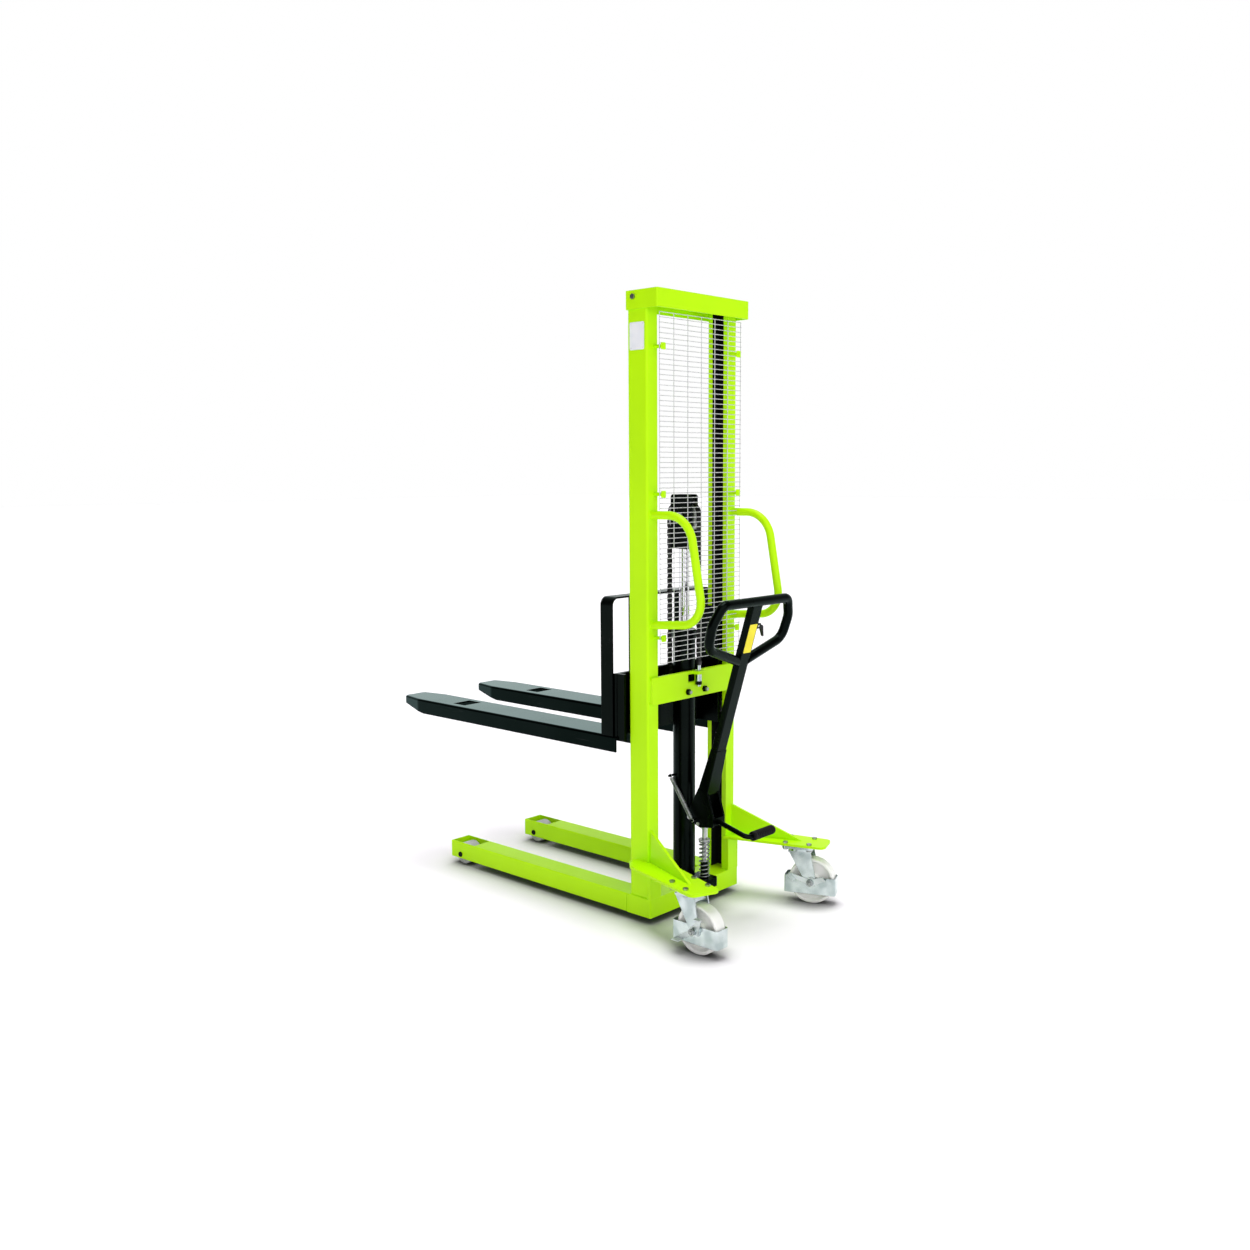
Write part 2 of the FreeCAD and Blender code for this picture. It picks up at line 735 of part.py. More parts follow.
# Forks, backrest and the frame that runs inside the channels
def build_carriage():
    half = fork_width / 2
    tip = fork_heel + fork_length
    shoulder = tip - fork_nose_taper
    fork_bottom = fork_top - fork_height
    seat_z = fork_top - fork_heel_step
    nose = half - fork_nose_inset
    plan = [(-half, fork_heel), (half, fork_heel), (half, shoulder),
            (nose, tip), (-nose, tip), (-half, shoulder)]
    bends = (0, 0, 3 * fork_nose_radius, fork_nose_radius, fork_nose_radius, 3 * fork_nose_radius)
    body = plate_xy(plan, bends, fork_bottom, fork_top)
    body = softened(body, fork_edge, lambda edge: edge.BoundBox.ZMin > fork_top - 0.01
                    and edge.BoundBox.YMax > fork_heel + 1)
    wall = fork_wall
    side_in, nose_in, tip_in = half - wall, nose - wall, tip - 2 * wall
    hollow = plate_xy([(-side_in, fork_heel), (side_in, fork_heel), (side_in, shoulder),
                       (nose_in, tip_in), (-nose_in, tip_in), (-side_in, shoulder)],
                      0, fork_bottom, fork_top - wall)
    window_y = load_roller_y
    window = box(-fork_window_width / 2, fork_window_width / 2, window_y - fork_window_length / 2,
                 window_y + fork_window_length / 2, fork_top - wall, fork_top)
    ramp = plate_yz([(tip - fork_slope_length, fork_bottom), (tip, fork_bottom),
                     (tip, fork_bottom + fork_slope_rise)], 0, -half, half)
    heel = box(-half, half, fork_heel, plate_front + backrest_strip + seat_gap, seat_z, fork_top)
    fork = body.cut([hollow, window, ramp, heel])
    for side, name in ((-1, "left"), (1, "right")):
        parts[name + "_fork"] = moved(fork, Vector(side * fork_spacing / 2, 0, 0))

    outside = fork_spacing / 2 + half
    inside = fork_spacing / 2 - half
    top = fork_top + backrest_height
    thick = backrest_thickness
    outer = plate_xz([(-outside, seat_z), (outside, seat_z), (outside, top), (-outside, top)],
                     (0, 0, backrest_corner, backrest_corner), plate_front, plate_front + backrest_strip)
    inner = plate_xz([(-outside + thick, seat_z), (outside - thick, seat_z),
                      (outside - thick, top - thick), (-outside + thick, top - thick)],
                     (0, 0, backrest_corner - thick, backrest_corner - thick),
                     plate_front, plate_front + backrest_strip)
    bars = [box(side * inside if side > 0 else -inside - thick, inside + thick if side > 0 else -inside,
                plate_front, plate_front + backrest_strip, seat_z, top - thick) for side in (-1, 1)]
    parts["backrest_frame"] = joined([outer.cut(inner)] + bars)

    wing_top = fork_top + carriage_wing_height
    wing = outside - backrest_thickness
    front = box(-wing, wing, plate_rear, plate_front, seat_z, wing_top)
    lug = box(-carriage_lug_half_width, carriage_lug_half_width, chain_front_y - chain_thickness, plate_rear,
              carriage_lug_top - carriage_lug_height, carriage_lug_top)
    pieces = [front, lug]
    holes = []
    for side in (-1, 1):
        low, high = sorted((side * arm_inner, side * arm_outer))
        arm = plate_yz([(carriage_arm_back, arm_bottom), (plate_rear, arm_bottom), (plate_rear, wing_top),
                        (carriage_arm_shoulder, wing_top + carriage_arm_slope),
                        (carriage_arm_shoulder, arm_top), (carriage_arm_back, arm_top)],
                       (0, 0, 0, 0, carriage_arm, carriage_arm), low, high)
        cheek_high = wing - carriage_cheek_inset
        ends = sorted((side * (cheek_high - carriage_cheek), side * cheek_high))
        cheek = box(ends[0], ends[1], column_depth + carriage_column_gap, plate_rear,
                    fork_top - carriage_cheek_drop, wing_top)
        pieces.extend([arm, cheek])
        for height in (lower_roller_z, upper_roller_z):
            holes.append(rod(Vector(low, channel_centre_y, height), Vector(high, channel_centre_y, height),
                             carriage_pin_radius + pin_fit))
    parts["carriage_frame"] = joined(pieces).cut(holes)

    pins = []
    centre = flange_inner + carriage_roller_inset + carriage_roller_width / 2
    for side, name in ((-1, "left"), (1, "right")):
        for level, height in (("lower", lower_roller_z), ("upper", upper_roller_z)):
            roller = wheel_blank(roller_radius, carriage_roller_width, carriage_pin_radius + running_fit,
                                 carriage_roller_edge)
            place = Vector(side * centre, channel_centre_y, height)
            parts[name + "_" + level + "_carriage_roller"] = moved(roller, place)
            pins.append(rod(Vector(side * (arm_inner - pin_overhang), channel_centre_y, height),
                            Vector(side * (centre + carriage_roller_width / 2), channel_centre_y, height),
                            carriage_pin_radius))
    parts["carriage_roller_pins"] = Part.makeCompound(pins)


# Welded wire guard and the clips that hold it off the columns
def build_mesh():
    near, far = -mesh_setback + mesh_wire / 2, -mesh_setback - mesh_wire / 2
    edge = mesh_half_width + mesh_wire / 2
    frame = Part.makePolygon([Vector(-edge, near, mesh_bottom), Vector(edge, near, mesh_bottom),
                              Vector(edge, near, mesh_top), Vector(-edge, near, mesh_top),
                              Vector(-edge, near, mesh_bottom)])
    gaps = []
    for row in range(mesh_rows):
        low = mesh_bottom + mesh_wire + row * grille_pitch_z
        high = low + grille_pitch_z - mesh_wire
        for column in range(mesh_columns):
            left = -mesh_half_width + mesh_wire / 2 + column * grille_pitch_x
            right = left + grille_pitch_x - mesh_wire
            gaps.append(Part.makePolygon([Vector(left, near, low), Vector(right, near, low),
                                          Vector(right, near, high), Vector(left, near, high),
                                          Vector(left, near, low)]))
    net = Part.makeFace([frame] + gaps, "Part::FaceMakerBullseye")
    room = grab_tube + mesh_notch_gap
    lower_arm = grab_bottom + grab_bottom_rise * mesh_setback / grab_bottom_reach
    notches = []
    for side in (-1, 1):
        ends = sorted((side * (grab_offset - room), side * (edge + mesh_notch_gap)))
        for height in (lower_arm, grab_top):
            notches.append(box(ends[0], ends[1], far, near, height - room, height + room))
    parts["mesh_guard"] = net.extrude(Vector(0, far - near, 0)).cut(notches)

    clips = []
    for side in (-1, 1):
        for row in clip_rows:
            height = mesh_bottom + mesh_wire / 2 + (row + 0.5) * grille_pitch_z
            spot = Vector(side * clip_offset, 0, height)
            half = clip_size / 2
            post = rod(spot, spot + Y_AXIS * near, clip_post_radius)
            washer = plate_xz([(spot.x - half, height - half), (spot.x + half, height - half),
                               (spot.x + half, height + half), (spot.x - half, height + half)],
                              half / 3, far - clip_plate, far)
            shank = rod(spot + Y_AXIS * near, spot + Y_AXIS * far, clip_screw_radius)
            head = rod(spot + Y_AXIS * (far - clip_plate), spot + Y_AXIS * (far - clip_plate - clip_head),
                       clip_head_radius)
            clips.append(joined([post, shank, washer, head]))
    parts["mesh_clips"] = Part.makeCompound(clips)


# Bent tube handles on the columns' rear faces
def build_grab_handles():
    for side, name in ((-1, "left"), (1, "right")):
        x = side * grab_offset
        slope = grab_bottom_rise / grab_bottom_reach
        route = [Vector(x, grab_wall, grab_top), Vector(x, -grab_top_reach, grab_top),
                 Vector(x, -grab_bottom_reach, grab_bottom + grab_bottom_rise),
                 Vector(x, grab_wall, grab_bottom - grab_wall * slope)]
        bends = (0, grab_top_bend, grab_bottom_bend, 0)
        inside_column = box(x - 2 * grab_tube, x + 2 * grab_tube, 0, 3 * grab_wall,
                            grab_bottom - 2 * grab_tube, grab_top + 2 * grab_tube)
        parts[name + "_grab_handle"] = bent_tube(route, bends, grab_tube, grab_wall).cut(inside_column)


# Pump block, plunger and the spring round it
def build_pump():
    front = cylinder_forward - cylinder_radius - seat_gap
    half = pump_block_half_width
    block = plate_xy([(-half, front), (-half, -pump_block_back), (half, -pump_block_back), (half, front)],
                     (0, pump_block_corner, pump_block_corner, 0), leg_top, pump_top)
    barrel = rod(Vector(0, -pump_back, pump_top), Vector(0, -pump_back, pump_top + pump_barrel_height),
                 pump_barrel_radius)
    barrel_end = pump_top + pump_barrel_height
    bore = rod(Vector(0, -pump_back, leg_top + pump_block_height / 5), Vector(0, -pump_back, barrel_end),
               plunger_radius + running_fit)
    parts["pump_body"] = joined([block, barrel]).cut(bore)
    stem = rod(Vector(0, -pump_back, barrel_end - plunger_engaged), Vector(0, -pump_back, plunger_top),
               plunger_radius)
    collar = rod(Vector(0, -pump_back, spring_top), Vector(0, -pump_back, spring_top + plunger_collar),
                 plunger_collar_radius)
    head = rod(Vector(0, -pump_back, plunger_top - plunger_head), Vector(0, -pump_back, plunger_top),
               plunger_head_radius)
    parts["pump_piston"] = joined([stem, collar, head])
    slope = pump_spring_height / pump_spring_turns / (2 * math.pi * pump_spring_radius)
    rest = pump_spring_wire * (1 + 2 * slope) + seat_gap
    parts["piston_spring"] = coil_spring(Vector(0, -pump_back, pump_top + rest),
                                         Vector(0, -pump_back, spring_top - rest),
                                         pump_spring_radius, pump_spring_wire, pump_spring_turns,
                                         "piston spring")


# Saddle on the back of the cylinder with the two lugs that carry the tiller
def build_pivot():
    low, high = pivot_height - saddle_height / 2, pivot_height + saddle_height / 2
    centre = Vector(0, cylinder_forward, low)
    ring = Part.makeCylinder(cylinder_radius + saddle_thickness, saddle_height, centre)
    behind = box(-lug_outer, lug_outer, cylinder_forward - 2 * cylinder_radius, cylinder_forward, low, high)
    saddle = ring.common(behind)
    root = cylinder_forward - cylinder_radius / 2
    saddle_back = cylinder_forward - cylinder_radius - saddle_thickness
    lug_back = -pivot_back - pivot_boss
    outline = [(root, low), (root, high), (saddle_back, high), (lug_back, pivot_height + pivot_boss),
               (lug_back, pivot_height - pivot_boss), (saddle_back, low)]
    bends = (0, 0, 0, pivot_boss / 2, pivot_boss / 2, 0)
    lugs = []
    for side in (-1, 1):
        ends = sorted((side * lug_outer, side * (lug_outer - lug_plate)))
        lugs.append(plate_yz(outline, bends, ends[0], ends[1]))
    bore = Part.makeCylinder(cylinder_radius + pin_fit, saddle_height, centre)
    pivot = Vector(0, -pivot_back, pivot_height)
    pin_hole = rod(pivot - X_AXIS * lug_outer, pivot + X_AXIS * lug_outer, pivot_pin_radius + running_fit)
    parts["tiller_pivot_bracket"] = joined([saddle] + lugs).cut([bore, pin_hole])


def tilted(shape):
    """Leans a piece that was drawn upright about the tiller's foot back to the tiller's rest angle."""
    return turned(moved(shape, tiller_foot), X_AXIS, tiller_tilt, tiller_foot)


# Tiller: foot with cheeks and socket, tube, handle loop, pins, press roller and pedal
def build_tiller():
    tube_half = tiller_tube_width / 2
    depth_half = tiller_tube_depth / 2
    socket_half = tube_half + socket_wall
    socket_depth = depth_half + socket_depth_wall
    socket = tapered_block((socket_half, socket_depth), (tube_half + socket_lip, depth_half + socket_lip),
                           socket_start, socket_end)
    socket = softened(socket, socket_lip, lambda edge: edge.Length > socket_end - socket_start)
    hole = box(-tube_half - pin_fit, tube_half + pin_fit, -depth_half - pin_fit, depth_half + pin_fit,
               tiller_tube_start, socket_end)
    socket = tilted(socket.cut(hole))

    lean = math.radians(tiller_tilt)

    def on_tiller(depth, rise):
        y = tiller_foot.y + depth * math.cos(lean) - rise * math.sin(lean)
        return (y, tiller_foot.z + depth * math.sin(lean) + rise * math.cos(lean))

    seat_front = on_tiller(socket_depth, socket_start + socket_wall)
    seat_back = on_tiller(-socket_depth, socket_start + socket_wall)
    nose = -pivot_back + pivot_boss
    tail = -pedal_root_back - pedal_rod
    outline = [(nose, pivot_height - pivot_boss), (nose, pivot_height + pivot_boss), seat_front, seat_back,
               (tail, pedal_root_height + 2 * pedal_rod), (tail, pedal_root_height - 2 * pedal_rod),
               (-pump_back - press_pin_radius, press_roller_z - 2 * press_pin_radius)]
    bends = (pivot_boss * 0.99, pivot_boss * 0.99, 0, 0, pedal_rod, pedal_rod, pedal_rod)
    cheeks = []
    for side in (-1, 1):
        ends = sorted((side * cheek_half_width, side * (cheek_half_width - cheek_plate)))
        cheeks.append(plate_yz(outline, bends, ends[0], ends[1]))
    inner = cheek_half_width - cheek_plate
    bridge = box(-inner, inner, -pedal_root_back - pedal_rod, -pedal_root_back + pedal_rod,
                 pedal_root_height - 1.5 * pedal_rod, pedal_root_height + 1.5 * pedal_rod)
    ear = rod(Vector(-cheek_half_width, -return_foot_back, return_foot_height),
              Vector(-return_spring_offset - return_stud_over, -return_foot_back, return_foot_height),
              return_stud_radius)
    pin_holes = [rod(Vector(-cheek_half_width, -pivot_back, pivot_height),
                     Vector(cheek_half_width, -pivot_back, pivot_height), pivot_pin_radius + pin_fit),
                 rod(Vector(-cheek_half_width, -pump_back, press_roller_z),
                     Vector(cheek_half_width, -pump_back, press_roller_z), press_pin_radius + pin_fit)]
    room = rod(Vector(-inner, -pump_back, press_roller_z), Vector(inner, -pump_back, press_roller_z),
               press_roller_radius + seat_gap * 5)
    foot = joined([socket] + cheeks + [bridge, ear]).cut(pin_holes + [room])

    root = Vector(0, -pedal_root_back, pedal_root_height)
    knee = Vector(0, -pedal_reach, pedal_height)
    end = Vector(pedal_pad_end - pedal_pad_edge, -pedal_reach, pedal_height)
    arm = bent_rod([root, knee, end], pedal_bend, pedal_rod)
    parts["pedal_arm"] = arm.cut(foot)
    parts["tiller_base"] = foot
    pad = rod(Vector(pedal_pad_start + pedal_bend / 2, -pedal_reach, pedal_height),
              Vector(pedal_pad_end, -pedal_reach, pedal_height), pedal_pad_radius)
    pad = softened(pad, pedal_pad_edge, lambda edge: edge.Closed)
    parts["pedal_pad"] = pad.cut(arm)

    parts["press_roller"] = moved(wheel_blank(press_roller_radius, 2 * press_roller_half_width,
                                              press_pin_radius + running_fit, 1),
                                  Vector(0, -pump_back, press_roller_z))

    def across(x, s):
        return Vector(x, 0, s)

    route = [across(-tube_half + loop_tube, loop_foot), across(-loop_waist_half, loop_waist),
             across(-loop_half_width, loop_shoulder), across(-loop_half_width + loop_top_bend / 2, loop_top),
             across(loop_half_width - loop_top_bend / 2, loop_top), across(loop_half_width, loop_shoulder),
             across(loop_waist_half, loop_waist), across(tube_half - loop_tube, loop_foot)]
    bends = (0, loop_waist_bend, loop_side_bend, loop_top_bend / 2, loop_top_bend / 2, loop_side_bend,
             loop_waist_bend, 0)
    loop = bent_tube(route, bends, loop_tube, loop_wall)
    loop_solid = bent_rod(route, bends, loop_tube)
    lower = box(-tube_half, tube_half, -depth_half - loop_tube, depth_half + loop_tube,
                loop_foot - 2 * loop_tube, (loop_waist + loop_shoulder) / 2)
    loop = loop.cut(lower)
    bar = box(-tube_half, tube_half, -depth_half, depth_half, tiller_tube_start, loop_top)
    bar = softened(bar, tiller_tube_wall, lambda edge: runs_along(edge, Z_AXIS))
    inside = box(-tube_half + tiller_tube_wall, tube_half - tiller_tube_wall, -depth_half + tiller_tube_wall,
                 depth_half - tiller_tube_wall, tiller_tube_start, loop_foot - 2 * loop_tube)
    slack = lever_half_thickness + seat_gap
    ears = [box(tube_half, lever_pivot_out + lever_boss, ends[0], ends[1],
                lever_pivot_rise - lever_boss, lever_pivot_rise + lever_boss)
            for ends in ((-slack - lever_clevis, -slack), (slack, slack + lever_clevis))]
    lever_hole = rod(Vector(lever_pivot_out, -depth_half, lever_pivot_rise),
                     Vector(lever_pivot_out, depth_half, lever_pivot_rise), lever_pin_radius + pin_fit)
    top_bar = loop_solid.cut(lower)
    tube = joined([bar.cut(inside)] + ears).cut([lever_hole, top_bar])
    parts["tiller_tube"] = tilted(tube)
    parts["tiller_handle_loop"] = tilted(loop)

    hub = across(lever_pivot_out, lever_pivot_rise)
    knee_point = hub + across(lever_knee_reach, -lever_knee_drop)
    tip_point = hub + across(lever_reach, -lever_drop)
    thick = Vector(0, 2 * lever_half_thickness, 0)
    blade = []
    widths = ((hub, lever_boss), (knee_point, lever_half_width), (tip_point, lever_tip))
    for (a, a_width), (b, b_width) in zip(widths, widths[1:]):
        side = (b - a).cross(Y_AXIS).normalize()
        corners = [a + side * a_width, b + side * b_width, b - side * b_width, a - side * a_width]
        blade.append(Part.Face(Part.makePolygon(corners + corners[:1])).extrude(thick))
    for point, radius in widths:
        blade.append(Part.makeCylinder(radius, thick.y, point, Y_AXIS))
    lever = moved(joined(blade), Vector(0, -lever_half_thickness, 0))
    lever = lever.cut(rod(hub - Y_AXIS * depth_half, hub + Y_AXIS * depth_half,
                          lever_pin_radius + running_fit))
    parts["release_lever"] = tilted(lever)

    reach = cheek_half_width + pin_overhang
    lever_pin = tilted(rod(Vector(lever_pivot_out, -slack - lever_clevis, lever_pivot_rise),
                           Vector(lever_pivot_out, slack + lever_clevis, lever_pivot_rise), lever_pin_radius))
    press_pin = rod(Vector(-reach, -pump_back, press_roller_z), Vector(reach, -pump_back, press_roller_z),
                    press_pin_radius)
    pivot_pin = rod(Vector(-reach, -pivot_back, pivot_height), Vector(reach, -pivot_back, pivot_height),
                    pivot_pin_radius)
    parts["tiller_pins"] = Part.makeCompound([pivot_pin, press_pin, lever_pin])

    start = Vector(-return_spring_offset, -return_foot_back, return_foot_height)
    finish = Vector(-return_spring_offset, return_top_forward, return_top_height)
    way = (finish - start).normalize()
    clear = return_stud_radius + seat_gap + return_spring_wire
    margin = clear - ((finish - start).Length - 2 * clear) / return_spring_turns / 4
    parts["return_spring"] = coil_spring(start + way * margin, finish - way * margin, return_spring_radius,
                                         return_spring_wire, return_spring_turns, "return spring")


def castor_spot(side):
    return Vector(side * castor_out, -castor_back, 0)


def pattern_spots():
    """The four bolt places about a castor's swivel axis on the right-hand side."""
    turn = math.radians(bracket_turn)
    along = Vector(math.sin(turn), -math.cos(turn), 0)
    out = Vector(math.cos(turn), math.sin(turn), 0)
    return [castor_spot(1) + along * (u * castor_bolt_along / 2) + out * (v * castor_bolt_across / 2)
            for u in (-1, 1) for v in (-1, 1)]


# Brackets behind the columns, the castors' fixed plates and their bolts
def build_brackets():
    turn = math.radians(bracket_turn)
    along = Vector(math.sin(turn), -math.cos(turn), 0)
    out = Vector(math.cos(turn), math.sin(turn), 0)
    spot = castor_spot(1)
    rear_outer = spot + along * bracket_beyond + out * bracket_half_width
    rear_inner = spot + along * bracket_beyond - out * bracket_half_width
    outline = [(bracket_inner, 0), (half_mast, 0), (half_mast, bracket_front),
               (bracket_outer_front - bracket_corner, bracket_front),
               (bracket_outer_front, bracket_front - bracket_corner),
               (rear_outer.x, rear_outer.y), (rear_inner.x, rear_inner.y)]
    bends = (0, 0, 0, bracket_corner / 2, bracket_corner / 2, bracket_rear_corner, bracket_rear_corner)
    flange = plate_xy(outline, bends, bracket_bottom, bracket_top)
    start = Vector(half_mast - bracket_web_inset, 0, 0)
    web_points = [start - along * bracket_web, start + along * bracket_web_length]
    corners = [web_points[0] + Z_AXIS * bracket_top, web_points[1] + Z_AXIS * bracket_top,
               web_points[0] + Z_AXIS * (bracket_top + bracket_web_rise)]
    web = Part.Face(Part.makePolygon(corners + corners[:1])).extrude(out * bracket_web)
    web.translate(out * (-bracket_web / 2))
    web = web.common(box(0, 2 * castor_out, -2 * castor_back, 0, 0, mast_height))
    pad = box(bracket_pad_inner, (leg_spacing + leg_width) / 2, -base_back, 0, leg_top, bracket_bottom)
    bracket = joined([flange, web, pad])
    holes = [rod(p + Z_AXIS * bracket_bottom, p + Z_AXIS * bracket_top, castor_bolt + pin_fit)
             for p in pattern_spots()]
    bracket = bracket.cut(holes)
    parts["right_castor_bracket"] = bracket
    parts["left_castor_bracket"] = mirrored(bracket)

    half_u, half_v = castor_plate_length / 2, castor_plate_width / 2
    corner_points = [spot + along * (u * half_u) + out * (v * half_v)
                     for u, v in ((-1, -1), (1, -1), (1, 1), (-1, 1))]
    flat = plate([point + Z_AXIS * castor_plate_bottom for point in corner_points], castor_plate * 2,
                 Z_AXIS * castor_plate)
    race_bottom = castor_plate_bottom - seat_gap - castor_race - castor_crown - seat_gap
    pin = rod(spot + Z_AXIS * race_bottom, spot + Z_AXIS * castor_plate_bottom, kingpin_radius)
    head = rod(spot + Z_AXIS * (race_bottom - kingpin_head), spot + Z_AXIS * race_bottom, kingpin_head_radius)
    holes = [rod(p + Z_AXIS * castor_plate_bottom, p + Z_AXIS * bracket_bottom, castor_bolt + pin_fit)
             for p in pattern_spots()]
    fixed = joined([flat, pin, head]).cut(holes)
    parts["castor_top_plates"] = Part.makeCompound([mirrored(fixed), fixed])

    bolts = []
    for p in pattern_spots():
        top, bottom = p + Z_AXIS * bracket_top, p + Z_AXIS * castor_plate_bottom
        head = hexagon_nut(top, Z_AXIS, castor_bolt_head, castor_bolt_across_flats, 0)
        nut = hexagon_nut(bottom, Z_AXIS * -1, castor_bolt_head, castor_bolt_across_flats, 0)
        shank = rod(bottom - Z_AXIS * castor_bolt_head, top, castor_bolt)
        bolts.append(joined([head, nut, shank]))
    return bolts + [mirrored(bolt) for bolt in bolts]


# Swivelling half of a castor, drawn trailing backwards with its swivel axis on the origin
def castor_pieces():
    wheel_y, wheel_z = -castor_trail, castor_wheel_radius
    axle_at = Vector(0, wheel_y, wheel_z)
    race_top = castor_plate_bottom - seat_gap
    crown_top = race_top - castor_race
    crown_bottom = crown_top - castor_crown
    outer, inner = castor_leg_outer, castor_leg_inner
    race = rod(Vector(0, 0, crown_top), Vector(0, 0, race_top), castor_race_radius)
    crown = box(-outer, outer, -castor_leg_back, castor_leg_front, crown_bottom, crown_top)
    pieces = [race, crown]
    for side in (-1, 1):
        ends = sorted((side * inner, side * outer))
        leg = plate_yz([(castor_leg_front, crown_top), (-castor_leg_back, crown_top),
                        (wheel_y - castor_leg_end, wheel_z), (wheel_y + castor_leg_end, wheel_z)],
                       0, ends[0], ends[1])
        boss = Part.makeCylinder(castor_leg_end, castor_leg, Vector(ends[0], wheel_y, wheel_z), X_AXIS)
        pieces.extend([leg, boss])
    shaft = Part.makeCylinder(castor_axle + pin_fit, 4 * outer, axle_at - X_AXIS * (2 * outer), X_AXIS)
    king = rod(Vector(0, 0, crown_bottom), Vector(0, 0, race_top), kingpin_radius + running_fit)
    fork = joined(pieces).cut([shaft, king])
    lever_room = brake_sheet + 2 * seat_gap
    left_end, right_end = axle_at - X_AXIS * (outer + lever_room), axle_at + X_AXIS * outer
    bolt = rod(left_end, right_end, castor_axle)
    heads = [rod(left_end, left_end - X_AXIS * castor_head_height, castor_head),
             rod(right_end, right_end + X_AXIS * castor_head_height, castor_head)]
    axle = joined([bolt] + heads)
    wheel = moved(wheel_blank(castor_wheel_radius, castor_wheel_width, castor_axle + running_fit,
                              castor_wheel_edge), axle_at)

    half_x = castor_guard_half_width
    front_y, back_y = wheel_y + castor_guard_front, wheel_y - castor_guard_back
    low, high = castor_guard_bottom, castor_guard_bottom + castor_guard_height
    sheet = castor_guard_sheet

    def ring(inset):
        return [(-half_x + inset, back_y + inset), (half_x - inset, back_y + inset),
                (half_x - inset, front_y - inset), (-half_x + inset, front_y - inset)]

    guard = plate_xy(ring(0), castor_guard_corner, low, high)
    guard = guard.cut(plate_xy(ring(sheet), castor_guard_corner - sheet, low, high)).cut(shaft)

    plate_out = -outer - seat_gap
    plate_in = plate_out - brake_sheet
    pad_y0, pad_y1 = -brake_pad_back, brake_pad_front
    hub = Part.makeCylinder(brake_hub, brake_sheet, Vector(plate_in, wheel_y, wheel_z), X_AXIS)
    lower = plate_yz([(wheel_y + brake_hub, wheel_z), (pad_y1, brake_pad_low), (pad_y0, brake_pad_low),
                      (wheel_y - brake_hub / 2, wheel_z - brake_hub / 2)], 0, plate_in, plate_out)
    foot_pad = box(plate_in - brake_pad_out, plate_out, pad_y0, pad_y1,
                   brake_pad_low - brake_sheet, brake_pad_low)
    tab_top = wheel_z + brake_tab_rise
    tab_y0, tab_y1 = wheel_y - 1.5 * brake_tab_back, wheel_y - brake_tab_back / 2
    upper = plate_yz([(wheel_y + brake_hub / 2, wheel_z), (tab_y1, tab_top),
                      (tab_y0, tab_top), (wheel_y - brake_hub, wheel_z)], 0, plate_in, plate_out)
    tab = box(plate_in - brake_tab_out, plate_out, tab_y0, tab_y1, tab_top, tab_top + brake_sheet)
    brake = joined([hub, lower, foot_pad, upper, tab])
    brake = brake.cut(Part.makeCylinder(castor_axle + running_fit, brake_sheet * 2,
                                        Vector(plate_in - brake_sheet / 2, wheel_y, wheel_z), X_AXIS))
    return {"fork": Part.makeCompound([fork, axle]), "wheel": wheel, "guard": guard, "brake": brake}


def build_castors():
    axle_at = Vector(0, -castor_trail, castor_wheel_radius)
    for side, name, turn, lift in ((-1, "left", left_castor_turn, 0),
                                   (1, "right", right_castor_turn, right_brake_lift)):
        pieces = castor_pieces()
        pieces["brake"] = turned(pieces["brake"], X_AXIS, lift, axle_at)
        for piece, shape in pieces.items():
            swung = turned(shape, Z_AXIS, turn, Vector(0, 0, 0))
            parts[name + "_castor_" + piece] = moved(swung, castor_spot(side))


build_base()
cap_bolts = build_columns()
build_cross_beam()
build_lift()
build_chain()
build_carriage()
build_mesh()
build_grab_handles()
build_pump()
build_pivot()
build_tiller()
bracket_bolts = build_brackets()
parts["frame_bolts"] = Part.makeCompound(cap_bolts + bracket_bolts)
build_castors()

os.makedirs("parts", exist_ok=True)
for name, shape in sorted(parts.items()):
    volume = round(shape.Volume / 1000, 1)
    print(name, "solids", len(shape.Solids), "valid", shape.isValid(), "volume", volume, "cm3")
    shape.exportStep("parts/" + name + ".step")
print(len(parts), "nodes")
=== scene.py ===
# %% [markdown]
# A hand pallet stacker lifts pallets with a hydraulic pump instead of a motor. The construction comes
# in as a fixed frame of named nodes, each already in its place. This lesson dresses that frame: it
# gives every surface a finish, and models the pieces that need more than a plain solid, such as the
# wire guard, the leaf chain, the springs and the moulded wheels.

# %% Load the frame
import json
import math

import bmesh
import bpy
from mathutils import Matrix, Vector


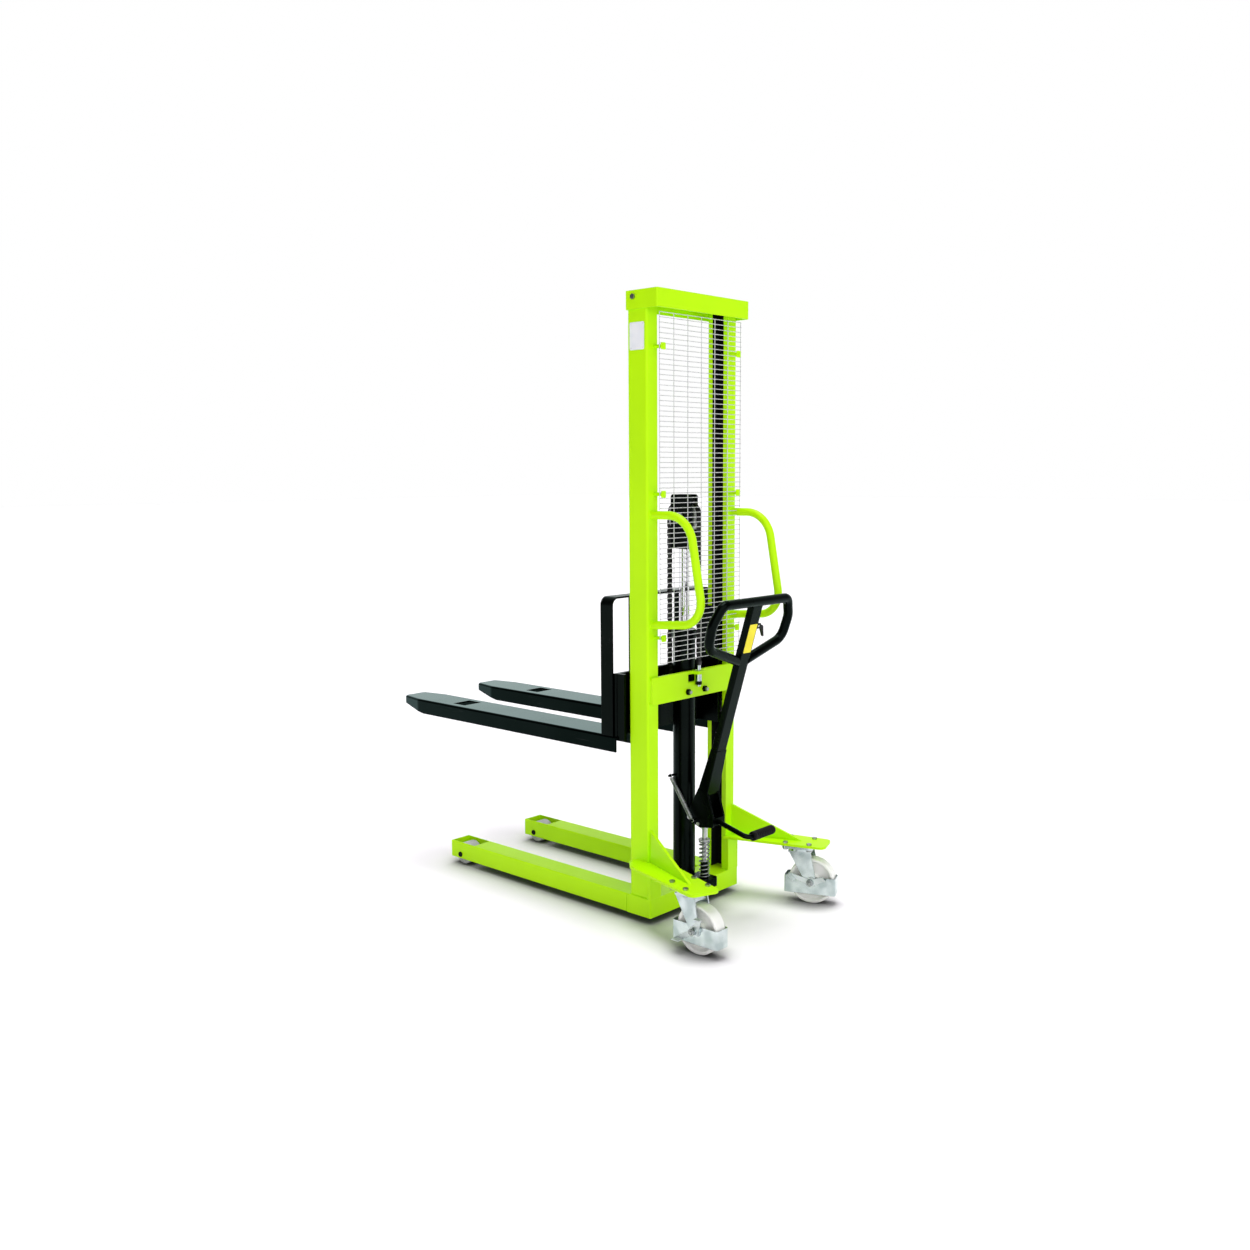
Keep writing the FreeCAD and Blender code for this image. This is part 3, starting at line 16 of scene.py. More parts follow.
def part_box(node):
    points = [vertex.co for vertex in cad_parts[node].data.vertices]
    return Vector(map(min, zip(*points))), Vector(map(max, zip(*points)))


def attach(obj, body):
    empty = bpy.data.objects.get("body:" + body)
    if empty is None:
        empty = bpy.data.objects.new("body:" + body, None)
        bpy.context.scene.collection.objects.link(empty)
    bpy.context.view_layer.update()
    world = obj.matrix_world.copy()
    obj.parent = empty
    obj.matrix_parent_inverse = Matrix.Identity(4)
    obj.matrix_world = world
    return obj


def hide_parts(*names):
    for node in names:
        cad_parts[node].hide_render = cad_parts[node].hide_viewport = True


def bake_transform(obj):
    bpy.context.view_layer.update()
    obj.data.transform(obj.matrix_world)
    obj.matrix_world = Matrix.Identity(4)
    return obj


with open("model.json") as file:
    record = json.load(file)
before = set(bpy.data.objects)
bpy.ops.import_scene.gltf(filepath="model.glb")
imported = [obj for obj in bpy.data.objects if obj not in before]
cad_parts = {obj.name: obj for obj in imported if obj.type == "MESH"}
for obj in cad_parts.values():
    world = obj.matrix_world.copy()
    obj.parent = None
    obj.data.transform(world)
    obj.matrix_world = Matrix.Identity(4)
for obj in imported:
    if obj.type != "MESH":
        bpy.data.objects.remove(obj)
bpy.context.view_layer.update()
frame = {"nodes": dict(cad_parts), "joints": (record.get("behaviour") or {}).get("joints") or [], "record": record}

nodes = frame["nodes"]
joints = {joint["name"]: joint for joint in frame["joints"]}

# %% [markdown]
# The camera stands where the photographer stood: behind the machine on its left, a little above
# chest height. A camera's place and three angles fix the view, and the lens fixes its width. It
# could be aimed by eye, but angles solved from the machine's own straight edges keep every line true.

# %% Set up the camera
camera_place = Vector((-3.1761, -2.6034, 1.4927))
camera_yaw = math.radians(-47.439)
camera_pitch = math.radians(-7.028)
camera_roll = math.radians(-0.33)

forward = Vector((-math.sin(camera_yaw) * math.cos(camera_pitch),
                  math.cos(camera_yaw) * math.cos(camera_pitch), math.sin(camera_pitch)))
level_right = Vector((math.cos(camera_yaw), math.sin(camera_yaw), 0))
level_up = level_right.cross(forward)
view_right = level_right * math.cos(camera_roll) + level_up * math.sin(camera_roll)
view_up = level_up * math.cos(camera_roll) - level_right * math.sin(camera_roll)

camera_data = bpy.data.cameras.new("camera")
camera_data.sensor_fit = "HORIZONTAL"
camera_data.sensor_width = 36
camera_data.lens = 35.22
camera = bpy.data.objects.new("camera", camera_data)
turn = Matrix((view_right, view_up, -forward)).transposed().to_4x4()
camera.matrix_world = Matrix.Translation(camera_place) @ turn
bpy.context.scene.collection.objects.link(camera)
bpy.context.scene.camera = camera
print("camera", round((camera_place - Vector((0, 0, 1))).length, 2), "m from the mast")

# %% [markdown]
# Finishes are node trees, and most of a tree is wiring. A few small helpers keep it short: they add a
# node with its settings and inputs, mix two colours by a mask, stretch a value over a range, and
# combine two values. An input may be a plain value or another node's output.

# %% Helpers for node trees
MASK_INPUT, FIRST_INPUT, SECOND_INPUT, COLOUR_OUTPUT = 0, 6, 7, 2


def feed(tree, socket, value):
    """Links another node's output to a socket, or sets the socket to a plain value."""
    if isinstance(value, bpy.types.NodeSocket):
        tree.links.new(value, socket)
    else:
        socket.default_value = value


def add(tree, kind, inputs=None, **settings):
    node = tree.nodes.new("ShaderNode" + kind)
    for key, value in settings.items():
        setattr(node, key, value)
    for key, value in (inputs or {}).items():
        feed(tree, node.inputs[key], value)
    return node


def blend_colours(tree, mask, first, second):
    node = add(tree, "Mix", data_type="RGBA")
    for index, value in ((MASK_INPUT, mask), (FIRST_INPUT, first), (SECOND_INPUT, second)):
        feed(tree, node.inputs[index], (*value, 1) if isinstance(value, tuple) else value)
    return node.outputs[COLOUR_OUTPUT]


def spread(tree, value, low, high, bottom, top):
    """Stretches a value between low and high over the range bottom to top."""
    inputs = {"Value": value, "From Min": low, "From Max": high, "To Min": bottom, "To Max": top}
    return add(tree, "MapRange", inputs).outputs["Result"]


def combine(tree, operation, first, second):
    return add(tree, "Math", {0: first, 1: second}, operation=operation).outputs[0]


print("node helpers ready")

# %% [markdown]
# Three effects turn up on many surfaces: the slight ripple and patchiness of a sprayed skin, the
# fine scratches of use, and the drawn lines of worked steel. Each is a node group, built once and
# placed in a finish with its own values. A group gives out masks and heights only, and the shader
# itself stays in the finish.

# %% Shared surface effects
def new_group(name, inputs, outputs):
    group = bpy.data.node_groups.new(name, "ShaderNodeTree")
    for label, kind, value in inputs:
        socket = group.interface.new_socket(label, in_out="INPUT", socket_type=kind)
        if value is not None:
            socket.default_value = value
    for label in outputs:
        group.interface.new_socket(label, in_out="OUTPUT", socket_type="NodeSocketFloat")
    start = group.nodes.new("NodeGroupInput").outputs
    end = group.nodes.new("NodeGroupOutput").inputs
    return group, start, end


VECTOR, NUMBER = "NodeSocketVector", "NodeSocketFloat"

sprayed_skin, start, end = new_group(
    "sprayed_skin",
    [("Vector", VECTOR, None), ("Ripple", NUMBER, 300.0), ("Patches", NUMBER, 4.0)],
    ["Height", "Patch", "Speck"])
ripple = add(sprayed_skin, "TexNoise", {"Vector": start["Vector"], "Scale": start["Ripple"], "Detail": 1.0})
patch = add(sprayed_skin, "TexNoise", {"Vector": start["Vector"], "Scale": start["Patches"], "Detail": 3.0})
speck = add(sprayed_skin, "TexNoise", {"Vector": start["Vector"], "Scale": 900.0, "Detail": 0.0})
sprayed_skin.links.new(ripple.outputs[0], end["Height"])
sprayed_skin.links.new(spread(sprayed_skin, patch.outputs[0], 0.35, 0.65, 0.0, 1.0), end["Patch"])
sprayed_skin.links.new(spread(sprayed_skin, speck.outputs[0], 0.68, 0.74, 0.0, 1.0), end["Speck"])

scratches, start, end = new_group(
    "scratches",
    [("Vector", VECTOR, None), ("Along", VECTOR, (40.0, 600.0, 600.0)), ("Rarity", NUMBER, 0.66)],
    ["Mask"])
stretched = add(scratches, "VectorMath", {0: start["Vector"], 1: start["Along"]}, operation="MULTIPLY")
lines = add(scratches, "TexNoise", {"Vector": stretched.outputs[0], "Scale": 1.0, "Detail": 2.0})
where_used = add(scratches, "TexNoise", {"Vector": start["Vector"], "Scale": 7.0, "Detail": 2.0})
fine = combine(scratches, "GREATER_THAN", lines.outputs[0], start["Rarity"])
worn = spread(scratches, where_used.outputs[0], 0.5, 0.68, 0.0, 1.0)
scratches.links.new(combine(scratches, "MULTIPLY", fine, worn), end["Mask"])

drawn_lines, start, end = new_group(
    "drawn_lines",
    [("Vector", VECTOR, None), ("Along", VECTOR, (900.0, 900.0, 25.0))],
    ["Line", "Cloud"])
stretched = add(drawn_lines, "VectorMath", {0: start["Vector"], 1: start["Along"]}, operation="MULTIPLY")
lines = add(drawn_lines, "TexNoise", {"Vector": stretched.outputs[0], "Scale": 1.0, "Detail": 3.0})
cloud = add(drawn_lines, "TexNoise", {"Vector": start["Vector"], "Scale": 26.0, "Detail": 1.0})
drawn_lines.links.new(spread(drawn_lines, lines.outputs[0], 0.3, 0.7, 0.0, 1.0), end["Line"])
drawn_lines.links.new(spread(drawn_lines, cloud.outputs[0], 0.35, 0.65, 0.0, 1.0), end["Cloud"])


def place_group(tree, group, inputs):
    return add(tree, "Group", inputs, node_tree=group).outputs


print("groups:", sprayed_skin.name, scratches.name, drawn_lines.name)

# %% [markdown]
# Every finish starts the same way: a new material, its shader and the object's own coordinates.
# Pressed and welded steel has no knife edges, so a Bevel node rounds the shading at each corner by
# about a millimetre, and the same node tells where the corners are, for the painted highlights and
# painted shade along them. Rounding every edge in the mesh would look the same from here and cost
# thousands of faces.

# %% Start of every finish
def new_finish(name, **sockets):
    material = bpy.data.materials.new(name)
    material.use_nodes = True
    tree = material.node_tree
    shader = tree.nodes["Principled BSDF"]
    for socket, value in sockets.items():
        shader.inputs[socket.replace("_", " ")].default_value = value
    where = add(tree, "TexCoord").outputs["Object"]
    return material, tree, shader, where


def soft_corners(tree, radius):
    return add(tree, "Bevel", {"Radius": radius}, samples=4).outputs[0]


def corner_mask(tree, soft_normal):
    true_normal = add(tree, "NewGeometry").outputs["Normal"]
    match = add(tree, "VectorMath", {0: soft_normal, 1: true_normal}, operation="DOT_PRODUCT")
    return spread(tree, match.outputs["Value"], 0.995, 0.90, 0.0, 1.0)


def set_skin(tree, shader, colour, gloss):
    tree.links.new(colour, shader.inputs["Base Color"])
    tree.links.new(gloss, shader.inputs["Roughness"])


def set_bump(tree, shader, height, strength, distance, normal):
    inputs = {"Height": height, "Strength": strength, "Distance": distance, "Normal": normal}
    tree.links.new(add(tree, "Bump", inputs).outputs[0], shader.inputs["Normal"])


print("finish helpers ready")

# %% [markdown]
# The mast, legs and brackets wear a bright lime powder coat. It is smooth and glossy, with a faint
# ripple and small shifts of tone, and a paler line along each corner is a painted highlight. The inner
# sides of the mast channels, where the rollers run, are black, so the mast's own finish asks where a
# point lies before it chooses its colour.

# %% Lime powder coat
LIME = (0.52, 0.94, 0.001)
LIME_DEEP = (0.48, 0.89, 0.001)
LIME_EDGE_HIGHLIGHT = (0.66, 0.97, 0.03)
TRACK_BLACK = (0.006, 0.007, 0.007)


def lime_coat(name, track=None):
    material, tree, shader, where = new_finish(name, Specular_IOR_Level=0.14)
    skin = place_group(tree, sprayed_skin, {"Vector": where, "Ripple": 260.0, "Patches": 3.0})
    marks = place_group(tree, scratches, {"Vector": where, "Along": (500.0, 30.0, 500.0), "Rarity": 0.70})
    normal = soft_corners(tree, 0.0015)
    colour = blend_colours(tree, skin["Patch"], LIME, LIME_DEEP)
    colour = blend_colours(tree, combine(tree, "MULTIPLY", marks["Mask"], 0.25), colour, LIME_DEEP)
    # a paler lime line along each corner is a painted highlight
    painted_edge_highlight = combine(tree, "MULTIPLY", corner_mask(tree, normal), 0.6)
    colour = blend_colours(tree, painted_edge_highlight, colour, LIME_EDGE_HIGHLIGHT)
    gloss = spread(tree, skin["Patch"], 0.0, 1.0, 0.34, 0.44)
    # the inner sides of each channel, where the rollers run, are coloured black
    if track is not None:
        half_width, low_y, high_y = track
        split = add(tree, "SeparateXYZ", {"Vector": where}).outputs
        side = add(tree, "Math", {0: split["X"]}, operation="ABSOLUTE").outputs[0]
        inside = combine(tree, "LESS_THAN", side, half_width)
        inside = combine(tree, "MULTIPLY", inside, combine(tree, "GREATER_THAN", split["Y"], low_y))
        inside = combine(tree, "MULTIPLY", inside, combine(tree, "LESS_THAN", split["Y"], high_y))
        colour = blend_colours(tree, inside, colour, TRACK_BLACK)
        gloss = combine(tree, "ADD", gloss, combine(tree, "MULTIPLY", inside, 0.2))
    set_skin(tree, shader, colour, gloss)
    set_bump(tree, shader, skin["Height"], 0.06, 0.0006, normal)
    return material


channel_low, channel_high = (Vector(corner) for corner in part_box("right_mast_channel"))
web_thickness, flange_thickness, hair = 0.010, 0.018, 0.0002
track_zone = (channel_high.x - web_thickness + hair, channel_low.y + flange_thickness - hair,
              channel_high.y - flange_thickness + hair)
lime_paint = lime_coat("lime_paint")
mast_paint = lime_coat("mast_paint", track_zone)
print("lime coat, track zone", [round(value, 4) for value in track_zone])

# %% [markdown]
# Forks, carriage, pump and tiller are satin black. Black paint shows mostly by what it reflects, so
# its roughness matters more than its colour: it changes softly from place to place, and the
# scratches of pallets and boots show as slightly paler, duller lines. It looks black straight on and
# mirrors the room at a low angle, most of all on the forks, whose harder skin mirrors it coldly. A
# metallic shader does that with a nearly black base and a tint for the glancing light.

# %% Satin black paint
GLANCE_DIM = (0.76, 0.84, 0.81, 1.0)
GLANCE_COLD = (0.82, 1.0, 0.98, 1.0)
SCUFF_GREY = (0.07, 0.072, 0.074)
RIM_HIGHLIGHT_GREY = (0.035, 0.038, 0.04)


def black_coat(name, along, rarity, wear, smooth, deep, thin, glance):
    material, tree, shader, where = new_finish(name, Metallic=1.0, Specular_Tint=glance)
    skin = place_group(tree, sprayed_skin, {"Vector": where, "Ripple": 420.0, "Patches": 6.0})
    marks = place_group(tree, scratches, {"Vector": where, "Along": along, "Rarity": rarity})
    normal = soft_corners(tree, 0.0012)
    colour = blend_colours(tree, skin["Patch"], deep, thin)
    scuff = combine(tree, "MULTIPLY", marks["Mask"], wear)
    colour = blend_colours(tree, scuff, colour, SCUFF_GREY)
    # corners are painted a paler grey: a painted highlight along the edges
    rim = combine(tree, "MULTIPLY", corner_mask(tree, normal), 0.35)
    colour = blend_colours(tree, rim, colour, RIM_HIGHLIGHT_GREY)
    gloss = combine(tree, "ADD", spread(tree, skin["Patch"], 0.0, 1.0, smooth, smooth + 0.09),
                    combine(tree, "MULTIPLY", scuff, 0.3))
    set_skin(tree, shader, colour, gloss)
    set_bump(tree, shader, skin["Height"], 0.10, 0.0005, normal)
    return material


black_paint = black_coat("black_paint", (300.0, 300.0, 30.0), 0.70, 0.20, 0.22,
                         (0.0036, 0.0056, 0.0048), (0.0058, 0.0082, 0.0073), GLANCE_DIM)
fork_paint = black_coat("fork_paint", (500.0, 14.0, 500.0), 0.66, 0.25, 0.08,
                        (0.0018, 0.0044, 0.0034), (0.0028, 0.0058, 0.0048), GLANCE_COLD)
print("black coats:", black_paint.name, fork_paint.name)

# %% [markdown]
# Castors and bolts are zinc plated. Plating is a thin bright metal with a cloudy, slightly blue bloom,
# so colour and roughness both drift over the surface, and the corners are painted darker as shade. The
# guard's wire, the brake levers and the blank plate have paler coats, so their shaders are only partly
# metallic. Bare steel is turned or drawn, which leaves fine lines along one direction. The chromed ram
# is the same metal, much smoother.

# %% Plated and bare metals
SPECK_GREY = (0.3, 0.31, 0.31)
RIM_SHADE = 0.2


def plated(name, bright, cloudy, smooth, rough, metallic=1.0):
    material, tree, shader, where = new_finish(name, Metallic=metallic)
    lay = place_group(tree, drawn_lines, {"Vector": where, "Along": (160.0, 160.0, 160.0)})
    skin = place_group(tree, sprayed_skin, {"Vector": where, "Ripple": 700.0, "Patches": 22.0})
    normal = soft_corners(tree, 0.0014)
    colour = blend_colours(tree, lay["Cloud"], bright, cloudy)
    colour = blend_colours(tree, combine(tree, "MULTIPLY", skin["Speck"], 0.3), colour, SPECK_GREY)
    # corners are painted darker: painted shade along the edges
    painted_rim_shade = combine(tree, "MULTIPLY", corner_mask(tree, normal), 0.75)
    colour = blend_colours(tree, painted_rim_shade, colour, tuple(value * RIM_SHADE for value in cloudy))
    set_skin(tree, shader, colour, spread(tree, skin["Patch"], 0.0, 1.0, smooth, rough))
    set_bump(tree, shader, skin["Height"], 0.03, 0.0003, normal)
    return material


def drawn_metal(name, bright, dull, smooth, rough, along, depth=0.1):
    material, tree, shader, where = new_finish(name, Metallic=1.0)
    lay = place_group(tree, drawn_lines, {"Vector": where, "Along": along})
    colour = blend_colours(tree, lay["Cloud"], bright, dull)
    set_skin(tree, shader, colour, spread(tree, lay["Line"], 0.0, 1.0, smooth, rough))
    set_bump(tree, shader, lay["Line"], depth, 0.0002, soft_corners(tree, 0.0006))
    return material


zinc_steel = plated("zinc_steel", (0.67, 0.745, 0.745), (0.43, 0.51, 0.51), 0.12, 0.24)
bolt_steel = plated("bolt_steel", (0.42, 0.45, 0.45), (0.30, 0.32, 0.32), 0.24, 0.40)
guard_wire = plated("guard_wire", (0.88, 0.89, 0.90), (0.78, 0.79, 0.80), 0.35, 0.5, metallic=0.35)
bare_steel = drawn_metal("bare_steel", (0.50, 0.51, 0.52), (0.36, 0.37, 0.37), 0.24, 0.42,
                         (700.0, 90.0, 90.0))
spring_steel = drawn_metal("spring_steel", (0.46, 0.48, 0.48), (0.26, 0.28, 0.28), 0.22, 0.38,
                           (300.0, 300.0, 300.0))
chromed_ram = drawn_metal("chromed_ram", (0.82, 0.83, 0.85), (0.76, 0.77, 0.79), 0.05, 0.12,
                          (900.0, 900.0, 12.0), 0.02)
oiled_chain = drawn_metal("oiled_chain", (0.055, 0.055, 0.057), (0.022, 0.021, 0.020), 0.28, 0.46,
                          (250.0, 250.0, 250.0), 0.2)
brake_zinc = plated("brake_zinc", (0.74, 0.80, 0.79), (0.58, 0.65, 0.64), 0.34, 0.48, metallic=0.5)
plate_metal = plated("plate_metal", (0.93, 0.95, 0.97), (0.86, 0.89, 0.93), 0.30, 0.42, metallic=0.1)
print("metals:", zinc_steel.name, bare_steel.name, chromed_ram.name, oiled_chain.name)

# %% [markdown]
# Wheels are cast nylon: off-white, a little translucent and greyer where floors have marked it. The
# pedal's grip is rubber with a fine grain. The release lever is moulded plastic, and the tiller's
# tab is a yellow film stuck to the tube.

# %% Plastics and rubber
def moulded(name, clean, marked, smooth, rough, grain, depth, **sockets):
    material, tree, shader, where = new_finish(name, **sockets)
    skin = place_group(tree, sprayed_skin, {"Vector": where, "Ripple": grain, "Patches": 18.0})
    marks = place_group(tree, scratches, {"Vector": where, "Along": (60.0, 500.0, 500.0), "Rarity": 0.66})
    colour = blend_colours(tree, skin["Patch"], clean, marked)
    colour = blend_colours(tree, combine(tree, "MULTIPLY", marks["Mask"], 0.35), colour, marked)
    set_skin(tree, shader, colour, spread(tree, skin["Patch"], 0.0, 1.0, smooth, rough))
    set_bump(tree, shader, skin["Height"], depth, 0.0004, soft_corners(tree, 0.0008))
    return material


nylon = moulded("nylon", (0.90, 0.90, 0.87), (0.82, 0.83, 0.79), 0.30, 0.44, 500.0, 0.06,
                Subsurface_Weight=0.12, Subsurface_Scale=0.01, Subsurface_Radius=(0.9, 1.0, 0.95))
roller_nylon = moulded("roller_nylon", (0.60, 0.61, 0.60), (0.46, 0.47, 0.46), 0.40, 0.55, 500.0, 0.08)
black_rubber = moulded("black_rubber", (0.0040, 0.0042, 0.0042), (0.0075, 0.0075, 0.0075), 0.50, 0.66,
                       1100.0, 0.35, Specular_IOR_Level=0.12)
lever_plastic = moulded("lever_plastic", (0.0030, 0.0034, 0.0034), (0.0055, 0.0058, 0.0058), 0.32, 0.44,
                        800.0, 0.15, Specular_IOR_Level=0.12)
yellow_film = moulded("yellow_film", (0.86, 0.76, 0.012), (0.80, 0.69, 0.010), 0.28, 0.40, 200.0, 0.05,
                      Specular_IOR_Level=0.3)
print("plastics:", nylon.name, roller_nylon.name, black_rubber.name, lever_plastic.name, yellow_film.name)

# %% [markdown]
# The record says which slot each node belongs to, so one table of slot to finish dresses the whole
# frame. A few nodes need their own variant, such as the mast channels with their black track, the
# forks with scratches that run along them, and the guard's clips, which are painted with the mast.

# %% Dress the frame
finish_of_slot = {"lime_paint": lime_paint, "black_paint": black_paint, "zinc_steel": zinc_steel,
                  "bare_steel": bare_steel, "oiled_chain": oiled_chain, "chromed_ram": chromed_ram,
                  "nylon": nylon, "black_rubber": black_rubber, "lever_plastic": lever_plastic}
finish_of_node = {"left_mast_channel": mast_paint, "right_mast_channel": mast_paint,
                  "left_fork": fork_paint, "right_fork": fork_paint,
                  "mesh_clips": lime_paint, "clamp_nuts": black_paint,
                  "load_roller_axles": black_paint, "carriage_roller_pins": black_paint,
                  "frame_bolts": bolt_steel, "cylinder_u_bolt": bolt_steel,
                  "left_castor_brake": brake_zinc, "right_castor_brake": brake_zinc,
                  "left_load_roller": roller_nylon, "right_load_roller": roller_nylon}
for subpart in frame["record"]["subparts"]:
    name = subpart["node"]
    mesh = nodes[name].data
    mesh.materials.clear()
    mesh.materials.append(finish_of_node.get(name, finish_of_slot[subpart["material_slot"]]))

# %% [markdown]
# New pieces are meshes built with bmesh operators. One helper turns a finished bmesh into an object:
# it merges doubled points, turns the faces outwards, shades it smooth except at real corners, and
# ties it to a body. Another adds a copy of a small template, for links, rings and rivets.

# %% Helpers for pieces
def make_piece(name, bm, finish, body=None, stands_for=(), corner=35):
    bmesh.ops.remove_doubles(bm, verts=bm.verts, dist=1e-6)
    bmesh.ops.recalc_face_normals(bm, faces=bm.faces)
    mesh = bpy.data.meshes.new(name)
    bm.to_mesh(mesh)
    bm.free()
    mesh.shade_smooth()
    mesh.set_sharp_from_angle(angle=math.radians(corner))
    mesh.materials.append(finish)
    piece = bpy.data.objects.new(name, mesh)
    bpy.context.scene.collection.objects.link(piece)
    if body:
        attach(piece, body)
    if stands_for:
        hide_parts(*stands_for)
    print(name, len(mesh.polygons), "faces")
    return piece


def add_copy(bm, template, place):
    placed = template.copy()
    placed.transform(place)
    bm.from_mesh(placed)
    bpy.data.meshes.remove(placed)


def template_mesh(name, bm):
    mesh = bpy.data.meshes.new(name)
    bm.to_mesh(mesh)
    bm.free()
    return mesh


def turn_to(way):
    """A turn that lays the Z axis along a direction."""
    return way.to_track_quat("Z", "Y").to_matrix().to_4x4()


def aim(start, end):
    """A matrix that lays the Z axis from start to end, centred between them."""
    return Matrix.Translation((start + end) / 2) @ turn_to(end - start)


def add_bar(bm, start, end, radius, sides):
    bmesh.ops.create_cone(bm, cap_ends=True, segments=sides, radius1=radius, radius2=radius,
                          depth=(end - start).length, matrix=aim(start, end))


def close_ends(bm):
    rims = [edge for edge in bm.edges if edge.is_boundary]
    bmesh.ops.holes_fill(bm, edges=rims, sides=0)


def node_box(name):
    low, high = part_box(name)
    return Vector(low), Vector(high)


print("piece helpers ready")

# %% [markdown]
# The guard between mast and operator is welded wire: about seventy thin rods across and seven up and
# down, laid on one another and spot welded, so the two layers overlap by part of a wire. The rods
# are cut short where the grab handles pass. A wireframe modifier on a grid would put both layers in
# one plane, so each rod is its own small bar.

# %% Wire guard
guard_low, guard_high = node_box("mesh_guard")
handle_low, handle_high = node_box("right_grab_handle")
handle_radius = (handle_high.x - handle_low.x) / 2
notch_gap = 0.002
notch_room = handle_radius + notch_gap
root_heights = (handle_low.z + handle_radius, handle_high.z - handle_radius)
lower_arm_climb = 0.0025
notch_heights = (root_heights[0] + lower_arm_climb, root_heights[1])
notch_edge = handle_low.x - notch_gap
wire_radius, wire_sides = 0.0013, 8
layer_shift = 0.0005
column_inset = 0.0015
rows_of_wire, columns_of_wire = 70, 7
guard_middle = (guard_low.y + guard_high.y) / 2
row_y, column_y = guard_middle - layer_shift, guard_middle + layer_shift


def beside_handle(height):
    return any(abs(height - notch) < notch_room for notch in notch_heights)


guard = bmesh.new()
row_step = (guard_high.z - guard_low.z - 2 * wire_radius) / (rows_of_wire - 1)
for row in range(rows_of_wire):
    height = guard_low.z + wire_radius + row * row_step
    reach = notch_edge if beside_handle(height) else guard_high.x
    add_bar(guard, Vector((-reach, row_y, height)), Vector((reach, row_y, height)), wire_radius,
            wire_sides)
column_half = guard_high.x - column_inset
column_step = 2 * column_half / (columns_of_wire - 1)
for column in range(columns_of_wire):
    x = -column_half + column * column_step
    stops = [guard_low.z, guard_high.z]
    if column in (0, columns_of_wire - 1):
        for notch in notch_heights:
            stops.extend((notch - notch_room, notch + notch_room))
    stops.sort()
    for low, high in zip(stops[::2], stops[1::2]):
        add_bar(guard, Vector((x, column_y, low)), Vector((x, column_y, high)), wire_radius, wire_sides)
make_piece("wire_guard", guard, guard_wire, "mast", ["mesh_guard"])

# %% [markdown]
# A leaf chain carries the forks: flat plates with round ends, four and three side by side, turn about
# on pins. A plate is a circle pulled apart into two halves and pushed out to its thickness. The links
# follow the rear run, the wheel and the front run. The runs grow and shrink as the ram moves; the
# links over the wheel ride on the ram, and the two straight runs stay where they are laid.

# %% Leaf chain
wrap_low = node_box("chain_wrap")[0]
rear_low, rear_high = node_box("chain_rear_run")
front_low, front_high = node_box("chain_front_run")
chain_half = (rear_high.x - rear_low.x) / 2
plate_count, plate_corners, plate_fill = 7, 12, 0.86
plate_gap = 2 * chain_half / plate_count
plate_thickness = plate_gap * plate_fill
plate_half_height = (rear_high.y - rear_low.y) / 2
link_length = 0.0159
pin_radius, pin_sides = 0.0026, 8


def chain_plate(pitch):
    bm = bmesh.new()
    made = bmesh.ops.create_circle(bm, cap_ends=True, segments=plate_corners, radius=plate_half_height,
                                   matrix=Matrix.Rotation(math.pi / plate_corners, 4, "Z"))
    ahead = [vert for vert in made["verts"] if vert.co.y > 0]
    bmesh.ops.translate(bm, verts=ahead, vec=(0, pitch, 0))
    bmesh.ops.translate(bm, verts=made["verts"], vec=(0, 0, -plate_thickness / 2))
    pushed = bmesh.ops.extrude_face_region(bm, geom=bm.faces[:])
    tops = [item for item in pushed["geom"] if isinstance(item, bmesh.types.BMVert)]
    bmesh.ops.translate(bm, verts=tops, vec=(0, 0, plate_thickness))
    bmesh.ops.recalc_face_normals(bm, faces=bm.faces)
    return template_mesh("chain_plate", bm)


def chain_through(bm, points, first_link):
    """Lays links from point to point, outer and inner turn about."""
    template = chain_plate((points[1] - points[0]).length)
    for index, (start, end) in enumerate(zip(points, points[1:])):
        along = (end - start).normalized()
        across = Vector((1, 0, 0))
        lie = Matrix((across.cross(along) * -1, along, across)).transposed().to_4x4()
        outer = (index + first_link) % 2 == 0
        for slot_index in range(plate_count):
            if (slot_index % 2 == 0) == outer:
                x = -chain_half + plate_gap * (slot_index + 0.5)
                add_copy(bm, template, Matrix.Translation(start + across * x) @ lie)
    for point in points:
        reach = Vector((chain_half, 0, 0))
        add_bar(bm, point - reach, point + reach, pin_radius, pin_sides)


def straight_run(y, bottom, top):
    count = round((top - bottom) / link_length)
    return [Vector((0, y, bottom + (top - bottom) * step / count)) for step in range(count + 1)]


rear_y = (rear_low.y + rear_high.y) / 2
front_y = (front_low.y + front_high.y) / 2
wheel_place = Vector((0, (rear_y + front_y) / 2, wrap_low.z))
wrap_radius = (front_y - rear_y) / 2
wrap_links = round(math.pi * wrap_radius / link_length)
chain_end_inset = plate_half_height

rear_points = straight_run(rear_y, rear_low.z + chain_end_inset, rear_high.z)
rear_chain = bmesh.new()
chain_through(rear_chain, rear_points, 0)
rear_piece = make_piece("leaf_chain_rear", rear_chain, oiled_chain,
                        stands_for=["chain_rear_run"])
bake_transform(rear_piece)

wrap_points = [wheel_place + Vector((0, -math.cos(angle), math.sin(angle))) * wrap_radius
               for angle in (math.pi * step / wrap_links for step in range(wrap_links + 1))]
wrap_chain = bmesh.new()
chain_through(wrap_chain, wrap_points, len(rear_points) - 1)
make_piece("leaf_chain_over_wheel", wrap_chain, oiled_chain, "ram", ["chain_wrap"])

front_points = straight_run(front_y, front_low.z + chain_end_inset, front_high.z)
front_chain = bmesh.new()
chain_through(front_chain, front_points, 0)
front_piece = make_piece("leaf_chain_front", front_chain, oiled_chain,
                         stands_for=["chain_front_run"])
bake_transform(front_piece)

# %% [markdown]
# Springs are wound by the spin operator: a small circle is turned about the axis, and each step also
# climbs a little, which makes a helix. The pump's spring has a closed turn at each end to sit flat.
# The return spring is wound tight, and its ends are bent into rings that hang on two studs.

# %% Springs
STEPS_PER_TURN, RING_STEPS = 20, 24
COIL_CORNERS, RING_CORNERS = 10, 8


